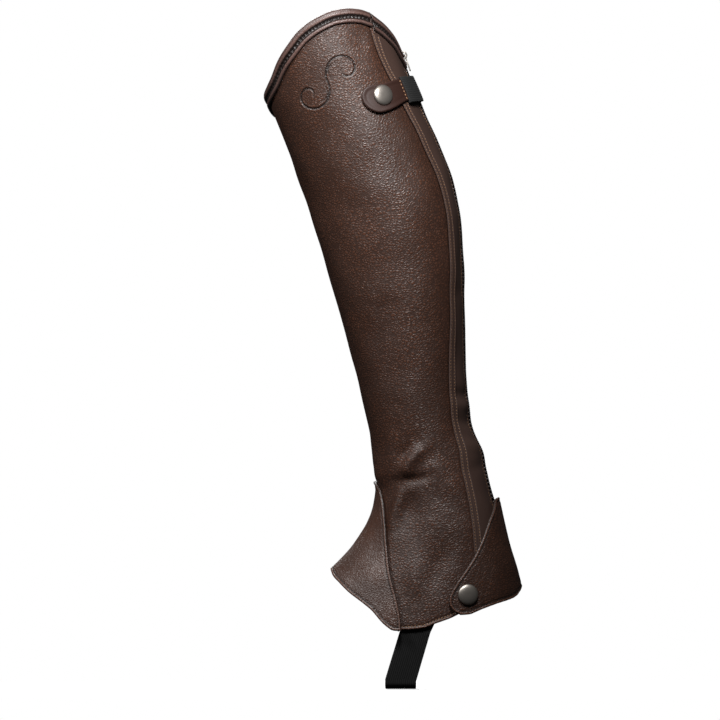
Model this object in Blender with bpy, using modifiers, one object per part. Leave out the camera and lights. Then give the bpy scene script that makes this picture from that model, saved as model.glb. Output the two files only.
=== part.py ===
"""A left half chap in brown leather, in the hollow form that it takes round a leg and a short boot.

Metres, +Z up, +X towards the heel, -Y towards the outer side of the left leg. The origin is the middle of the
calf at the height of the closing tab's snap.

Every leather piece lies on one skin, the outside of the chap. A place on it is a turn and a height. The
turn, in degrees, runs from the zip at the back (0) round the outer side (90) to the shin (180) and the inner
side (270). A piece is cut between two edges that run down the leg and two that run round it, moved off the
skin by its layer, and given its thickness with Solidify.
"""

import bmesh
import bpy
from math import acos, asin, cos, degrees, pi, radians, sin, sqrt
from mathutils import Matrix, Vector

# Leather, webbing and the gaps between layers.
LEATHER = 0.0018
STRIP_LEATHER = 0.0014
SEAM_TAPE = 0.0010
BINDING = 0.0012
WEBBING = 0.0018
LAYER_GAP = 0.0005
SEAM_GAP = 0.0005
INSTEP_GAP = 0.0014
BINDING_GAP = 0.0010
TAPE_GAP = 0.0008

# Faces along the height of each long piece, so that the points of neighbours pair up along their seams.
ROWS = 24

# Trims.
BINDING_DEPTH = 0.0093
MITRE = 8
SEAM_TAPE_WIDTH = 0.0070
SEAM_TAPE_END = -0.3860
STRAP_WIDTH = 0.0240
TAB_END_WIDTH = 0.0215
TAB_ROOT_WIDTH = 0.0165
ELASTIC_WIDTH = 0.0200
SNAP_RADIUS = 0.0080
SNAP_HEIGHT = 0.0030

# Zip.
ZIP_GAP = 0.0110
ZIP_END = -0.3720
TAPE_WIDTH = 0.0280
TAPE = 0.0009
CHAIN_WIDTH = 0.0064
CHAIN = 0.0028
CHAIN_PROUD = 0.0013
SLIDER_SIZE = (0.0096, 0.0130, 0.0033)
SLIDER_PROUD = 0.0014
SLIDER_HEIGHT = 0.0275
PULL_LENGTH = 0.0134
PULL_WIDTH = 0.0052
PULL_THICKNESS = 0.0010
PIVOT_LAYER = 0.0026
PIVOT_ABOVE = 0.0038
BRIDGE_RADIUS = 0.0006
BRIDGE_RISE = 0.0026
BRIDGE_REACH = 0.0027
EYE_RADIUS = 0.0005
EYE_LENGTH = 0.0048

# The skin, from the top down: height, x at the shin, x at the back, half width, and how much fuller the back
# half of its ring is than the front half.
SKIN = (
    (0.067, -0.0790, 0.0370, 0.0545, 0.05),
    (0.040, -0.0700, 0.0435, 0.0545, 0.05),
    (0.000, -0.0585, 0.0580, 0.0545, 0.06),
    (-0.035, -0.0445, 0.0735, 0.0550, 0.08),
    (-0.065, -0.0335, 0.0850, 0.0550, 0.09),
    (-0.097, -0.0230, 0.0915, 0.0535, 0.10),
    (-0.158, -0.0050, 0.0940, 0.0480, 0.08),
    (-0.205, 0.0080, 0.0948, 0.0430, 0.05),
    (-0.236, 0.0155, 0.0970, 0.0402, 0.02),
    (-0.252, 0.0190, 0.0995, 0.0390, 0.01),
    (-0.267, 0.0218, 0.1043, 0.0383, 0.00),
    (-0.277, 0.0232, 0.1085, 0.0381, 0.00),
    (-0.290, 0.0245, 0.1111, 0.0382, 0.01),
    (-0.306, 0.0284, 0.1148, 0.0386, 0.04),
    (-0.318, 0.0272, 0.1184, 0.0390, 0.07),
    (-0.332, 0.0226, 0.1219, 0.0396, 0.11),
    (-0.346, 0.0139, 0.1250, 0.0402, 0.14),
    (-0.370, -0.0062, 0.1305, 0.0415, 0.20),
    (-0.392, -0.0320, 0.1335, 0.0425, 0.25),
    (-0.420, -0.0660, 0.1340, 0.0435, 0.30),
)

# The cut edges. Those that run round the leg are (turn, height), and those that run down it (height, turn).
TOP_EDGE = (
    (45.5, 0.0622),
    (54, 0.0645),
    (63, 0.0652),
    (75, 0.0638),
    (92, 0.0573),
    (107, 0.0483),
    (121, 0.0365),
    (136, 0.0240),
    (150, 0.0120),
    (165, 0.0040),
    (180, -0.0010),
    (205, -0.0085),
    (240, -0.0110),
    (275, -0.0020),
    (300, 0.0170),
    (314.5, 0.0290),
)
STRIP_TOP_EDGE = (
    (6, 0.0325),
    (10, 0.0360),
    (16, 0.0425),
    (25, 0.0494),
    (33, 0.0548),
    (40, 0.0588),
    (45.5, 0.0622),
)
INNER_STRIP_TOP_EDGE = ((6, 0.0320), (16, 0.0356), (30, 0.0346), (45.5, 0.0290))
BACK_SEAM = (
    (-0.415, 46),
    (-0.360, 50),
    (-0.320, 51.5),
    (-0.285, 50.5),
    (-0.252, 45.5),
    (-0.205, 39.5),
    (-0.158, 35),
    (-0.110, 32),
    (-0.080, 31.5),
    (-0.040, 35),
    (0.000, 38.5),
    (0.042, 44.8),
    (0.067, 45.5),
)
HEM = (
    (0, -0.3790),
    (15, -0.3810),
    (35, -0.3880),
    (50, -0.3950),
    (58, -0.4010),
    (63, -0.4050),
    (70, -0.4092),
    (75, -0.4128),
    (84, -0.4140),
    (92, -0.4110),
)
INSTEP_SEAM = (
    (-0.4150, 84.5),
    (-0.4036, 89),
    (-0.3893, 97),
    (-0.3712, 109.8),
    (-0.3498, 124.4),
    (-0.3300, 139.5),
    (-0.3141, 151),
    (-0.3060, 159),
    (-0.3010, 168),
)
INSTEP_TOP = ((168, -0.3010), (174, -0.2995), (180, -0.2987))
INSTEP_HEM = (
    (84, -0.4152),
    (88, -0.4150),
    (92, -0.4122),
    (106, -0.3988),
    (122, -0.3888),
    (150, -0.3765),
    (180, -0.3700),
)
UNDER_INSTEP = (
    (92, -0.4110),
    (104, -0.3930),
    (127, -0.3600),
    (150, -0.3290),
    (165, -0.3130),
    (173, -0.3070),
    (180, -0.3045),
)
FRONT_SEAM_TURN = 212
FLAP_EDGE = (
    (-0.4026, 58.5),
    (-0.3989, 63.6),
    (-0.3934, 67.0),
    (-0.3879, 68.0),
    (-0.3795, 66.4),
    (-0.3692, 62.0),
    (-0.3588, 56.0),
    (-0.3434, 47.0),
    (-0.3303, 37.3),
    (-0.3145, 18.0),
)
FLAP_TOP = ((0, -0.3130), (9, -0.3133), (18, -0.3145))
FLAP_HEM = (
    (0, -0.3820),
    (10, -0.3855),
    (18, -0.3890),
    (35, -0.3934),
    (47, -0.3983),
    (54, -0.4021),
    (58.5, -0.4026),
)
FLAP_FLARE = 0.0030
FLAP_TIP_AWAY = 0.0012
INSTEP_FLARE = 0.0010

# Closing tab: the turns of its rounded end, its snap, and where the elastic starts and ends.
TAB_END, TAB_SNAP, TAB_ROOT, ELASTIC_END = 76, 59, 35, -38
TAB_COURSE = ((-38, 0.0035), (0, 0.0048), (35, 0.0035), (59, -0.0022), (76, -0.0048))
TAB_SNAP_ABOVE = 0.0016
HEEL_SNAP_TURN, HEEL_SNAP_HEIGHT = 57.6, -0.3868

# Foot strap: its outer face, from inside the hem down the outer side to the middle under the arch.
STRAP_TURN = 78
STRAP_TOP, STRAP_LEAVES = -0.3990, -0.4160
STRAP_CORNER = (0.0455, -0.0335)
STRAP_UNDER = -0.4600
STRAP_CORNER_RADIUS = 0.0060

collection = None


def smooth(knots, at):
    """The value at a place along (place, value) knots, on a curve that never overshoots them."""
    knots = sorted(knots)
    places = [knot[0] for knot in knots]
    values = [knot[1] for knot in knots]
    at = min(max(at, places[0]), places[-1])
    i = min(sum(place <= at for place in places), len(places) - 1) - 1
    steps = [(values[k + 1] - values[k]) / (places[k + 1] - places[k]) for k in range(len(knots) - 1)]

    def slope(k):
        if k in (0, len(knots) - 1):
            return steps[min(k, len(steps) - 1)]
        before, after = steps[k - 1], steps[k]
        return 0 if before * after <= 0 else 2 * before * after / (before + after)

    length = places[i + 1] - places[i]
    u = (at - places[i]) / length
    return (
        values[i] * (1 + 2 * u) * (1 - u) ** 2
        + values[i + 1] * u * u * (3 - 2 * u)
        + length * (slope(i) * u * (1 - u) ** 2 - slope(i + 1) * u * u * (1 - u))
    )


SHIN, BACK, HALF_WIDTH, FULLNESS = ([(row[0], row[k]) for row in SKIN] for k in (1, 2, 3, 4))


def skin(turn, height):
    """The point of the skin at a turn and a height."""
    shin, back = smooth(SHIN, height), smooth(BACK, height)
    c, s = cos(radians(turn)), sin(radians(turn))
    across = smooth(HALF_WIDTH, height) * s * (1 + smooth(FULLNESS, height) * c)
    return Vector(((shin + back) / 2 + (back - shin) / 2 * c, -across, height))


def around(turn, height):
    """The point of the skin there, how it moves per degree of turn and metre of height, and its normal."""
    degree, step = 0.5, 0.002
    along_turn = (skin(turn + degree, height) - skin(turn - degree, height)) / (2 * degree)
    along_height = (skin(turn, height + step) - skin(turn, height - step)) / (2 * step)
    return skin(turn, height), along_turn, along_height, along_height.cross(along_turn).normalized()


def off_skin(turn, height, layer):
    point, _, _, normal = around(turn, height)
    return point + normal * layer


def walked(turn, height, direction):
    """The turn and height reached by going a short way along the skin."""
    _, along_turn, along_height, _ = around(turn, height)
    a, b, c = along_turn.dot(along_turn), along_turn.dot(along_height), along_height.dot(along_height)
    p, q = direction.dot(along_turn), direction.dot(along_height)
    scale = a * c - b * b
    return turn + (p * c - q * b) / scale, height + (q * a - p * b) / scale


def turn_at(distance, height):
    """The turn of a place that far round from the middle of the zip."""
    return degrees(asin(distance / smooth(HALF_WIDTH, height)))


def turn_of_x(x, height):
    """The turn of the outer side's place with this x."""
    shin, back = smooth(SHIN, height), smooth(BACK, height)
    return degrees(acos((2 * x - shin - back) / (back - shin)))


def material(name, colour, roughness, metallic=0.0):
    made = bpy.data.materials.get(name)
    if made is None:
        made = bpy.data.materials.new(name)
        made.use_nodes = True
        shader = made.node_tree.nodes["Principled BSDF"]
        shader.inputs["Base Color"].default_value = (*colour, 1)
        shader.inputs["Roughness"].default_value = roughness
        shader.inputs["Metallic"].default_value = metallic
    return made


def grain_leather():
    return material("grain leather", (0.060, 0.033, 0.024), 0.45)


def smooth_leather():
    return material("smooth leather", (0.052, 0.028, 0.021), 0.40)


def tab_leather():
    return material("oxblood leather", (0.032, 0.009, 0.008), 0.25)


def black_webbing():
    return material("black elastic", (0.011, 0.011, 0.012), 0.85)


def dark_tape():
    return material("zip tape", (0.020, 0.013, 0.010), 0.80)


def moulded_teeth():
    return material("brown moulded teeth", (0.018, 0.011, 0.008), 0.45)


def nickel():
    return material("old nickel", (0.42, 0.38, 0.34), 0.32, 1.0)


def finish_object(name, mesh, look, smooth_angle=35):
    made = bpy.data.objects.new(name, mesh)
    made.data.materials.append(look)
    made.data.shade_smooth()
    made.data.set_sharp_from_angle(angle=radians(smooth_angle))
    collection.objects.link(made)
    return made


def sheet(name, columns, rows, place, thickness, look):
    """A grid of faces with its points put where place(u, v) says, facing out, thickened inwards."""
    grid = bmesh.new()
    bmesh.ops.create_grid(grid, x_segments=columns, y_segments=rows, size=0.5)
    for point in grid.verts:
        point.co = place(point.co.x + 0.5, point.co.y + 0.5)
    mesh = bpy.data.meshes.new(name)
    grid.to_mesh(mesh)
    grid.free()
    made = finish_object(name, mesh, look)
    wall = made.modifiers.new("Thickness", "SOLIDIFY")
    wall.thickness = thickness
    wall.offset = -1
    return made


def cut_piece(name, columns, rows, back, front, low, high, layer, thickness, look):
    """A leather piece between the edges back and front, given by height, and low and high, given by turn.
    layer is how far its outer face lies off the skin: a number, or a function of the turn and the height."""
    lie = layer if callable(layer) else (lambda turn, height: layer)

    def corner(u, edge):
        """The height at which the column u meets an edge."""
        height = edge((back(-0.2) + front(-0.2)) / 2)
        for _ in range(12):
            height = edge(back(height) * (1 - u) + front(height) * u)
        return height

    ends = {}

    def place(u, v):
        key = round(u, 5)
        if key not in ends:
            ends[key] = (corner(u, low), corner(u, high))
        bottom, top = ends[key]
        height = bottom + (top - bottom) * v
        turn = back(height) * (1 - u) + front(height) * u
        return off_skin(turn, height, lie(turn, height))

    # A grid's u runs to +X and its v to +Y, so it faces out only when u runs from the shin to the back.
    return sheet(name, columns, rows, lambda u, v: place(1 - u, v), thickness, look)


def along(knots):
    return lambda at: smooth(knots, at)


def mirrored_turns(knots):
    """An edge given by turn, for the inner side."""
    return [(360 - turn, height) for turn, height in knots]


def seam_turn(height, side=1):
    turn = smooth(BACK_SEAM, height)
    return turn if side > 0 else 360 - turn


def apart(turn, height, distance):
    """A turn moved round by a distance in metres, at that height."""
    _, along_turn, _, _ = around(turn, height)
    return turn + distance / along_turn.length


def panels():
    """The grained outer panel, which goes round the shin, and the inner panel."""
    low = HEM[:-1] + UNDER_INSTEP
    low_all_round = low + tuple(mirrored_turns(low)[::-1][1:])

    def back_edge(height):
        return apart(seam_turn(height), height, SEAM_GAP / 2)

    def inner_back_edge(height):
        return apart(seam_turn(height, -1), height, -SEAM_GAP / 2)

    cut_piece(
        "outer_panel",
        20,
        ROWS,
        back_edge,
        lambda height: apart(FRONT_SEAM_TURN, height, -SEAM_GAP / 2),
        along(low_all_round),
        along(TOP_EDGE),
        0,
        LEATHER,
        grain_leather(),
    )
    cut_piece(
        "inner_panel",
        12,
        ROWS,
        lambda height: apart(FRONT_SEAM_TURN, height, SEAM_GAP / 2),
        inner_back_edge,
        along(low_all_round),
        along(TOP_EDGE),
        0,
        LEATHER,
        smooth_leather(),
    )


def back_strips():
    """The two smooth strips between the back seams and the zip."""
    cut_piece(
        "back_strip_outer",
        5,
        ROWS,
        lambda height: turn_at(ZIP_GAP / 2, height),
        lambda height: apart(seam_turn(height), height, -SEAM_GAP / 2),
        along(HEM),
        along(STRIP_TOP_EDGE),
        0,
        STRIP_LEATHER,
        smooth_leather(),
    )
    cut_piece(
        "back_strip_inner",
        5,
        ROWS,
        lambda height: apart(seam_turn(height, -1), height, SEAM_GAP / 2),
        lambda height: 360 - turn_at(ZIP_GAP / 2, height),
        along(mirrored_turns(HEM)),
        along(mirrored_turns(INNER_STRIP_TOP_EDGE)),
        0,
        STRIP_LEATHER,
        smooth_leather(),
    )


def under_edge(edges, distance):
    """The edge that runs a distance below the lowest of some edges, measured square to them."""

    def height(turn):
        lowest = []
        for edge in edges:
            near = min(max(turn, edge[0][0] + 1), edge[-1][0] - 1)
            rise = smooth(edge, near + 1) - smooth(edge, near - 1)
            run = (skin(near + 1, 0) - skin(near - 1, 0)).length
            lowest.append(smooth(edge, near) - distance * sqrt(1 + (rise / run) ** 2))
        return min(lowest)

    return height


def seam_tapes():
    """The stitched tapes over the two back seams, from under the top bindings to the hem."""
    below_binding = BINDING_DEPTH + 0.002
    for name, side, strip_edge in (
        ("back_seam_outer", 1, STRIP_TOP_EDGE),
        ("back_seam_inner", -1, mirrored_turns(INNER_STRIP_TOP_EDGE)[::-1]),
    ):
        cut_piece(
            name,
            1,
            ROWS,
            lambda height, side=side: apart(seam_turn(height, side), height, -SEAM_TAPE_WIDTH / 2),
            lambda height, side=side: apart(seam_turn(height, side), height, SEAM_TAPE_WIDTH / 2),
            lambda turn: SEAM_TAPE_END,
            under_edge((TOP_EDGE, strip_edge), below_binding),
            LAYER_GAP + SEAM_TAPE,
            SEAM_TAPE,
            smooth_leather(),
        )


def bound_edge(name, steps, start, end, edge, wall, look):
    """A binding folded over a top edge: its section goes up the inside, over the edge and down outside."""
    lift = BINDING_GAP + BINDING
    out, inside = lift, -(wall + lift)
    middle, half = (out + inside) / 2, (out - inside) / 2
    section = [(inside, -BINDING_DEPTH), (inside, 0)]
    section += [(middle - half * cos(pi * k / 5), lift * sin(pi * k / 5)) for k in range(1, 5)]
    section += [(out, 0), (out, -BINDING_DEPTH)]
    step = 0.5

    def place(u, v):
        """The binding goes square to the edge, and turns upright to meet its neighbour at an end."""
        turn = start + (end - start) * u
        height = smooth(edge, turn)
        layer, up = section[round(v * (len(section) - 1))]
        ahead = skin(turn + step, smooth(edge, turn + step)) - skin(turn - step, smooth(edge, turn - step))
        _, _, along_height, normal = around(turn, height)
        square = normal.cross(ahead).normalized()
        if square.dot(along_height) < 0:
            square = -square
        from_end = min(turn - start, end - turn) / MITRE
        across = square.lerp(along_height.normalized(), max(1 - from_end, 0))
        return off_skin(*walked(turn, height, across * up / across.dot(square)), layer)

    return sheet(name, steps, len(section) - 1, lambda u, v: place(1 - u, 1 - v), BINDING, look)


def bindings():
    gap = 0.7
    start, end = TOP_EDGE[0][0] + gap, TOP_EDGE[-1][0] - gap
    bound_edge("top_binding", 32, start, end, TOP_EDGE, LEATHER, smooth_leather())
    first = STRIP_TOP_EDGE[0][0]
    last = STRIP_TOP_EDGE[-1][0] - gap
    bound_edge("strip_binding_outer", 6, first, last, STRIP_TOP_EDGE, STRIP_LEATHER, smooth_leather())
    inner_edge = mirrored_turns(INNER_STRIP_TOP_EDGE)
    bound_edge("strip_binding_inner", 6, 360 - last, 360 - first, inner_edge, STRIP_LEATHER, smooth_leather())


def instep_piece():
    """The tongue-shaped piece over the front of the ankle and the instep, lapped over both panels."""
    layer = INSTEP_GAP + LEATHER

    def lie(turn, height):
        down = (INSTEP_TOP[-1][1] - height) / (INSTEP_TOP[-1][1] - INSTEP_HEM[0][1])
        return layer + INSTEP_FLARE * max(down, 0) ** 2

    cut_piece(
        "instep_piece",
        18,
        12,
        along(INSTEP_SEAM),
        lambda height: 360 - smooth(INSTEP_SEAM, height),
        along(INSTEP_HEM + tuple(mirrored_turns(INSTEP_HEM)[::-1][1:])),
        along(INSTEP_TOP + tuple(mirrored_turns(INSTEP_TOP)[::-1][1:])),
        lie,
        LEATHER,
        grain_leather(),
    )


def flap_layer(turn, height):
    """The flap lies over the seam tapes and the zip, and stands away at the back towards its tip and hem."""
    base = LAYER_GAP + SEAM_TAPE + LAYER_GAP + LEATHER + 0.0002
    down = min(max((FLAP_TOP[0][1] - height) / (FLAP_TOP[0][1] - FLAP_HEM[0][1]), 0), 1)
    away = FLAP_FLARE * down**2 + FLAP_TIP_AWAY * (1 - down) ** 2
    return base + away * max(cos(radians(turn)), 0) ** 4


def heel_flap():
    cut_piece(
        "heel_flap",
        18,
        9,
        lambda height: -smooth(FLAP_EDGE, height),
        along(FLAP_EDGE),
        along(tuple((-turn, height) for turn, height in FLAP_HEM[:0:-1]) + FLAP_HEM),
        along(tuple((-turn, height) for turn, height in FLAP_TOP[:0:-1]) + FLAP_TOP),
        flap_layer,
        LEATHER,
        grain_leather(),
    )


def tab_middle(turn):
    """The height of the middle of the closing tab and its elastic, which go square to the leaning leg."""
    return smooth(TAB_COURSE, turn)


def tab_layer():
    return LAYER_GAP + SEAM_TAPE + LAYER_GAP + WEBBING


def closing_tab():
    """The leather end of the closing tab, which widens to a half round end, and the elastic behind it."""
    length = TAB_END - TAB_ROOT
    round_part = 15

    def half(turn):
        widened = min((turn - TAB_ROOT) / (length - round_part), 1)
        width = TAB_ROOT_WIDTH + (TAB_END_WIDTH - TAB_ROOT_WIDTH) * widened
        into_end = max(turn - (TAB_END - round_part), 0) / round_part
        return width / 2 * sqrt(max(1 - into_end**2, 0.03))

    columns = 12
    straight = 5

    def place(u, v):
        """Columns are even along the straight part and follow a quarter turn round the end."""
        step = round(u * columns)
        if step <= straight:
            turn = TAB_ROOT + (length - round_part) * step / straight
        else:
            turn = TAB_END - round_part * (1 - sin(pi / 2 * (step - straight) / (columns - straight)))
        return off_skin(turn, tab_middle(turn) + half(turn) * (2 * v - 1), tab_layer())

    sheet("closing_tab", columns, 4, lambda u, v: place(1 - u, v), LEATHER, tab_leather())

    def elastic(u, v):
        start = apart(TAB_ROOT, 0, -SEAM_GAP)
        turn = start + (ELASTIC_END - start) * u
        return off_skin(turn, tab_middle(turn) + ELASTIC_WIDTH * (v - 0.5), tab_layer())

    sheet("tab_elastic", 10, 2, elastic, WEBBING, black_webbing())


def snap(name, turn, height, layer):
    """A domed snap cap, turned about its axis and set on the leather."""
    rim, edge, steps = 0.0007, 0.0005, 5
    profile = [(0, SNAP_HEIGHT)]
    for k in range(1, steps + 1):
        angle = pi / 2 * k / steps
        profile.append((SNAP_RADIUS * sin(angle), rim + (SNAP_HEIGHT - rim) * cos(angle)))
    profile += [(SNAP_RADIUS, edge), (SNAP_RADIUS - edge, 0), (0, 0)]
    mesh = bpy.data.meshes.new(name)
    mesh.from_pydata([(x, 0, z) for x, z in profile], [(k, k + 1) for k in range(len(profile) - 1)], [])
    made = finish_object(name, mesh, nickel())
    turned = made.modifiers.new("Turned", "SCREW")
    turned.steps = turned.render_steps = 20
    turned.use_merge_vertices = True
    turned.merge_threshold = 0.00001
    turned.use_normal_calculate = True
    _, _, _, normal = around(turn, height)
    made.location = off_skin(turn, height, layer + LAYER_GAP)
    made.rotation_mode = "QUATERNION"
    made.rotation_quaternion = normal.to_track_quat("Z", "Y")
    return made


def foot_strap():
    """The elastic that goes from inside the outer hem, under the arch of the boot, and up the inner side."""
    inside = -(LEATHER + LAYER_GAP)
    corner_x, corner_y = STRAP_CORNER
    radius = STRAP_CORNER_RADIUS

    def half_route(aside):
        """One line of the strap on the outer side, a distance towards the heel from its middle line."""
        upper = []
        for k in range(3):
            height = STRAP_TOP + (STRAP_LEAVES - STRAP_TOP) * k / 2
            middle = skin(STRAP_TURN, height)
            upper.append(off_skin(turn_of_x(middle.x + aside, height), height, inside))
        bend = []
        for k in range(4):
            angle = pi / 2 * k / 3
            y = corner_y + radius * (1 - cos(angle))
            bend.append(Vector((corner_x + aside, y, STRAP_UNDER + radius * (1 - sin(angle)))))
        return upper + [upper[-1].lerp(bend[0], 0.5)] + bend

    lines = 4
    halves = [half_route(STRAP_WIDTH * (k / lines - 0.5)) for k in range(lines + 1)]
    count = len(halves[0])

    def place(u, v):
        half = halves[round(v * lines)]
        k = round(u * (2 * count - 1))
        if k < count:
            return half[k]
        opposite = half[2 * count - 1 - k]
        return Vector((opposite.x, -opposite.y, opposite.z))

    sheet("foot_strap", 2 * count - 1, lines, place, WEBBING, black_webbing())


def zip_parts():
    """The tape under the strips and the closed chain on it."""
    bottom = ZIP_END

    def centred(width):
        return (lambda height: -turn_at(width / 2, height)), (lambda height: turn_at(width / 2, height))

    tape_back, tape_front = centred(TAPE_WIDTH)
    under = -(STRIP_LEATHER + TAPE_GAP)
    tape_top = STRIP_TOP_EDGE[0][1] - BINDING_DEPTH - 0.001
    cut_piece(
        "zip_tape",
        2,
        ROWS,
        tape_back,
        tape_front,
        lambda turn: bottom,
        lambda turn: tape_top,
        under,
        TAPE,
        dark_tape(),
    )
    chain_back, chain_front = centred(CHAIN_WIDTH)
    chain_top = SLIDER_HEIGHT - SLIDER_SIZE[1] / 2 - SEAM_GAP
    cut_piece(
        "zip_chain",
        1,
        ROWS,
        chain_back,
        chain_front,
        lambda turn: bottom,
        lambda turn: chain_top,
        CHAIN_PROUD,
        CHAIN,
        moulded_teeth(),
    )


def slider_frame():
    """The slider's own axes, as a matrix: X out from the skin, Y across, Z up along the zip."""
    point, _, along_height, normal = around(0, SLIDER_HEIGHT)
    up = along_height.normalized()
    across = up.cross(normal)
    axes = Matrix((normal, across, up)).transposed().to_4x4()
    return Matrix.Translation(point) @ axes


def block(size, middle, bevel, name):
    """A box with rounded edges, in the slider's axes."""
    box = bmesh.new()
    bmesh.ops.create_cube(box, size=1)
    bmesh.ops.scale(box, vec=size, verts=box.verts)
    bmesh.ops.translate(box, vec=middle, verts=box.verts)
    bmesh.ops.bevel(box, geom=box.edges, offset=bevel, segments=2, profile=0.5, affect="EDGES")
    mesh = bpy.data.meshes.new(name)
    box.to_mesh(mesh)
    box.free()
    return mesh


def tube_mesh(name, points, radius):
    """A closed round bar along a path, as a mesh with its caps welded."""
    line = bpy.data.curves.new(name, "CURVE")
    line.dimensions = "3D"
    line.bevel_depth = radius
    line.bevel_resolution = 2
    line.use_fill_caps = True
    spline = line.splines.new("POLY")
    spline.points.add(len(points) - 1)
    for point, place in zip(spline.points, points):
        point.co = (*place, 1)
    curve = bpy.data.objects.new(name, line)
    collection.objects.link(curve)
    bpy.context.view_layer.update()
    mesh = bpy.data.meshes.new_from_object(curve.evaluated_get(bpy.context.evaluated_depsgraph_get()))
    bpy.data.objects.remove(curve)
    bpy.data.curves.remove(line)
    welded = bmesh.new()
    welded.from_mesh(mesh)
    bmesh.ops.remove_doubles(welded, verts=welded.verts, dist=0.00001)
    welded.to_mesh(mesh)
    welded.free()
    return mesh


def joined(made, others):
    """Boolean unions onto made, with the other meshes as hidden helpers in the same place."""
    helpers = bpy.data.collections["Helpers"]
    for k, mesh in enumerate(others):
        helper = bpy.data.objects.new(f"{made.name} helper {k + 1}", mesh)
        helper.matrix_world = made.matrix_world
        helper.hide_render = True
        helper.display_type = "WIRE"
        helpers.objects.link(helper)
        union = made.modifiers.new(f"Join {k + 1}", "BOOLEAN")
        union.operation = "UNION"
        union.solver = "EXACT"
        union.object = helper


def slider_and_pull():
    """The slider body with its bridge, and the pull: a plate with an eye whose bar turns under the bridge."""
    width, length, depth = SLIDER_SIZE
    top = SLIDER_PROUD
    foot = top - BRIDGE_RADIUS
    frame = slider_frame()
    body = block((depth, width, length), (top - depth / 2, 0, 0), 0.0006, "zip_slider")
    slider = finish_object("zip_slider", body, nickel())
    slider.matrix_world = frame
    arch = [(foot, 0, PIVOT_ABOVE - BRIDGE_REACH)]
    for k in range(1, 8):
        angle = pi * k / 8
        arch.append((top + BRIDGE_RISE * sin(angle), 0, PIVOT_ABOVE - BRIDGE_REACH * cos(angle)))
    arch.append((foot, 0, PIVOT_ABOVE + BRIDGE_REACH))
    joined(slider, [tube_mesh("bridge", arch, BRIDGE_RADIUS)])

    side = PULL_WIDTH / 2 - EYE_RADIUS
    loop = [(0, side, -EYE_LENGTH), (0, side, 0), (0, -side, 0), (0, -side, -EYE_LENGTH)]
    eye = tube_mesh("zip_pull", loop, EYE_RADIUS)
    pull = finish_object("zip_pull", eye, nickel())
    pull.matrix_world = frame @ Matrix.Translation((PIVOT_LAYER, 0, PIVOT_ABOVE))
    plate_top = EYE_RADIUS - EYE_LENGTH
    plate_length = PULL_LENGTH + plate_top
    plate = block(
        (PULL_THICKNESS, PULL_WIDTH, plate_length),
        (0, 0, plate_top - plate_length / 2),
        0.0003,
        "pull plate",
    )
    joined(pull, [plate])


def main():
    global collection
    for old in list(bpy.data.objects):
        bpy.data.objects.remove(old)
    collection = bpy.data.collections.new("Half chap")
    helpers = bpy.data.collections.new("Helpers")
    for group in (collection, helpers):
        bpy.context.scene.collection.children.link(group)
    panels()
    back_strips()
    seam_tapes()
    bindings()
    instep_piece()
    heel_flap()
    closing_tab()
    snap("tab_snap", TAB_SNAP, tab_middle(TAB_SNAP) + TAB_SNAP_ABOVE, tab_layer())
    snap("heel_snap", HEEL_SNAP_TURN, HEEL_SNAP_HEIGHT, flap_layer(HEEL_SNAP_TURN, HEEL_SNAP_HEIGHT))
    foot_strap()
    zip_parts()
    slider_and_pull()


main()
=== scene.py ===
"""Dresses the frame of a left half chap as worn leather: creased panels, bound rim, stitching, elastic and zip.

Metres, +Z up, +X towards the heel, -Y towards the outer side of the leg. Every leather piece lies on one skin,
the outside of the chap. A place on it is a turn, in degrees from the zip at the back (0) round the outer side
(90), the shin (180) and the inner side (270), and a height.
"""

import bmesh
import bpy
import numpy as np
from mathutils import Matrix, Vector
from mathutils.bvhtree import BVHTree


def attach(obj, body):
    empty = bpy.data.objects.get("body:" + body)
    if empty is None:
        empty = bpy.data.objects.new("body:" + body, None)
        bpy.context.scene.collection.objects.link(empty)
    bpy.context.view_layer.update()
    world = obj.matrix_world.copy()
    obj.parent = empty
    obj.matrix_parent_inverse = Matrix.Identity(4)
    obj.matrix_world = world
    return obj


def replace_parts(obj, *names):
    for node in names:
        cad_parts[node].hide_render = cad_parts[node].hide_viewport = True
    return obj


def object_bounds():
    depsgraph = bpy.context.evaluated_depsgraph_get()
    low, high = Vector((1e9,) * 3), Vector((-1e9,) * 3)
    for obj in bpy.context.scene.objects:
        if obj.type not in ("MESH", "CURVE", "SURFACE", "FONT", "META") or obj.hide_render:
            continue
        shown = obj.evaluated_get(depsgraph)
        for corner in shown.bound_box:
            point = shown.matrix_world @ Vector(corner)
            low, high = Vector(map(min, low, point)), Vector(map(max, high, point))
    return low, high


bl_info = {
    "name": "Half Chap Dresser",
    "version": (1, 0, 0),
    "blender": (4, 5, 0),
    "location": "View3D > Sidebar > Half Chap",
    "description": "Makes the leather, stitching, elastic and hardware of a half chap on its frame",
    "category": "Object",
}

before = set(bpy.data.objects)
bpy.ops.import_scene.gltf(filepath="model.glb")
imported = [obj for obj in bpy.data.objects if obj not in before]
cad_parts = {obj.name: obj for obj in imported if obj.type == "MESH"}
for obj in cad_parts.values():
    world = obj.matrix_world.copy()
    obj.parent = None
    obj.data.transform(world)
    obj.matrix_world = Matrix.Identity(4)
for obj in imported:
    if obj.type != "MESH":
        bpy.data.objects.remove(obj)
CAD_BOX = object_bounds()

# Walls and the gaps between layers.
LEATHER = 0.0018
STRIP_LEATHER = 0.0014
SEAM_TAPE = 0.0010
BINDING = 0.0012
WEBBING = 0.0018
ZIP_TAPE = 0.0009
LAYER_GAP = 0.0005
SEAM_GAP = 0.0005
INSTEP_GAP = 0.0014
BINDING_GAP = 0.0010
TAPE_GAP = 0.0008

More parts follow.
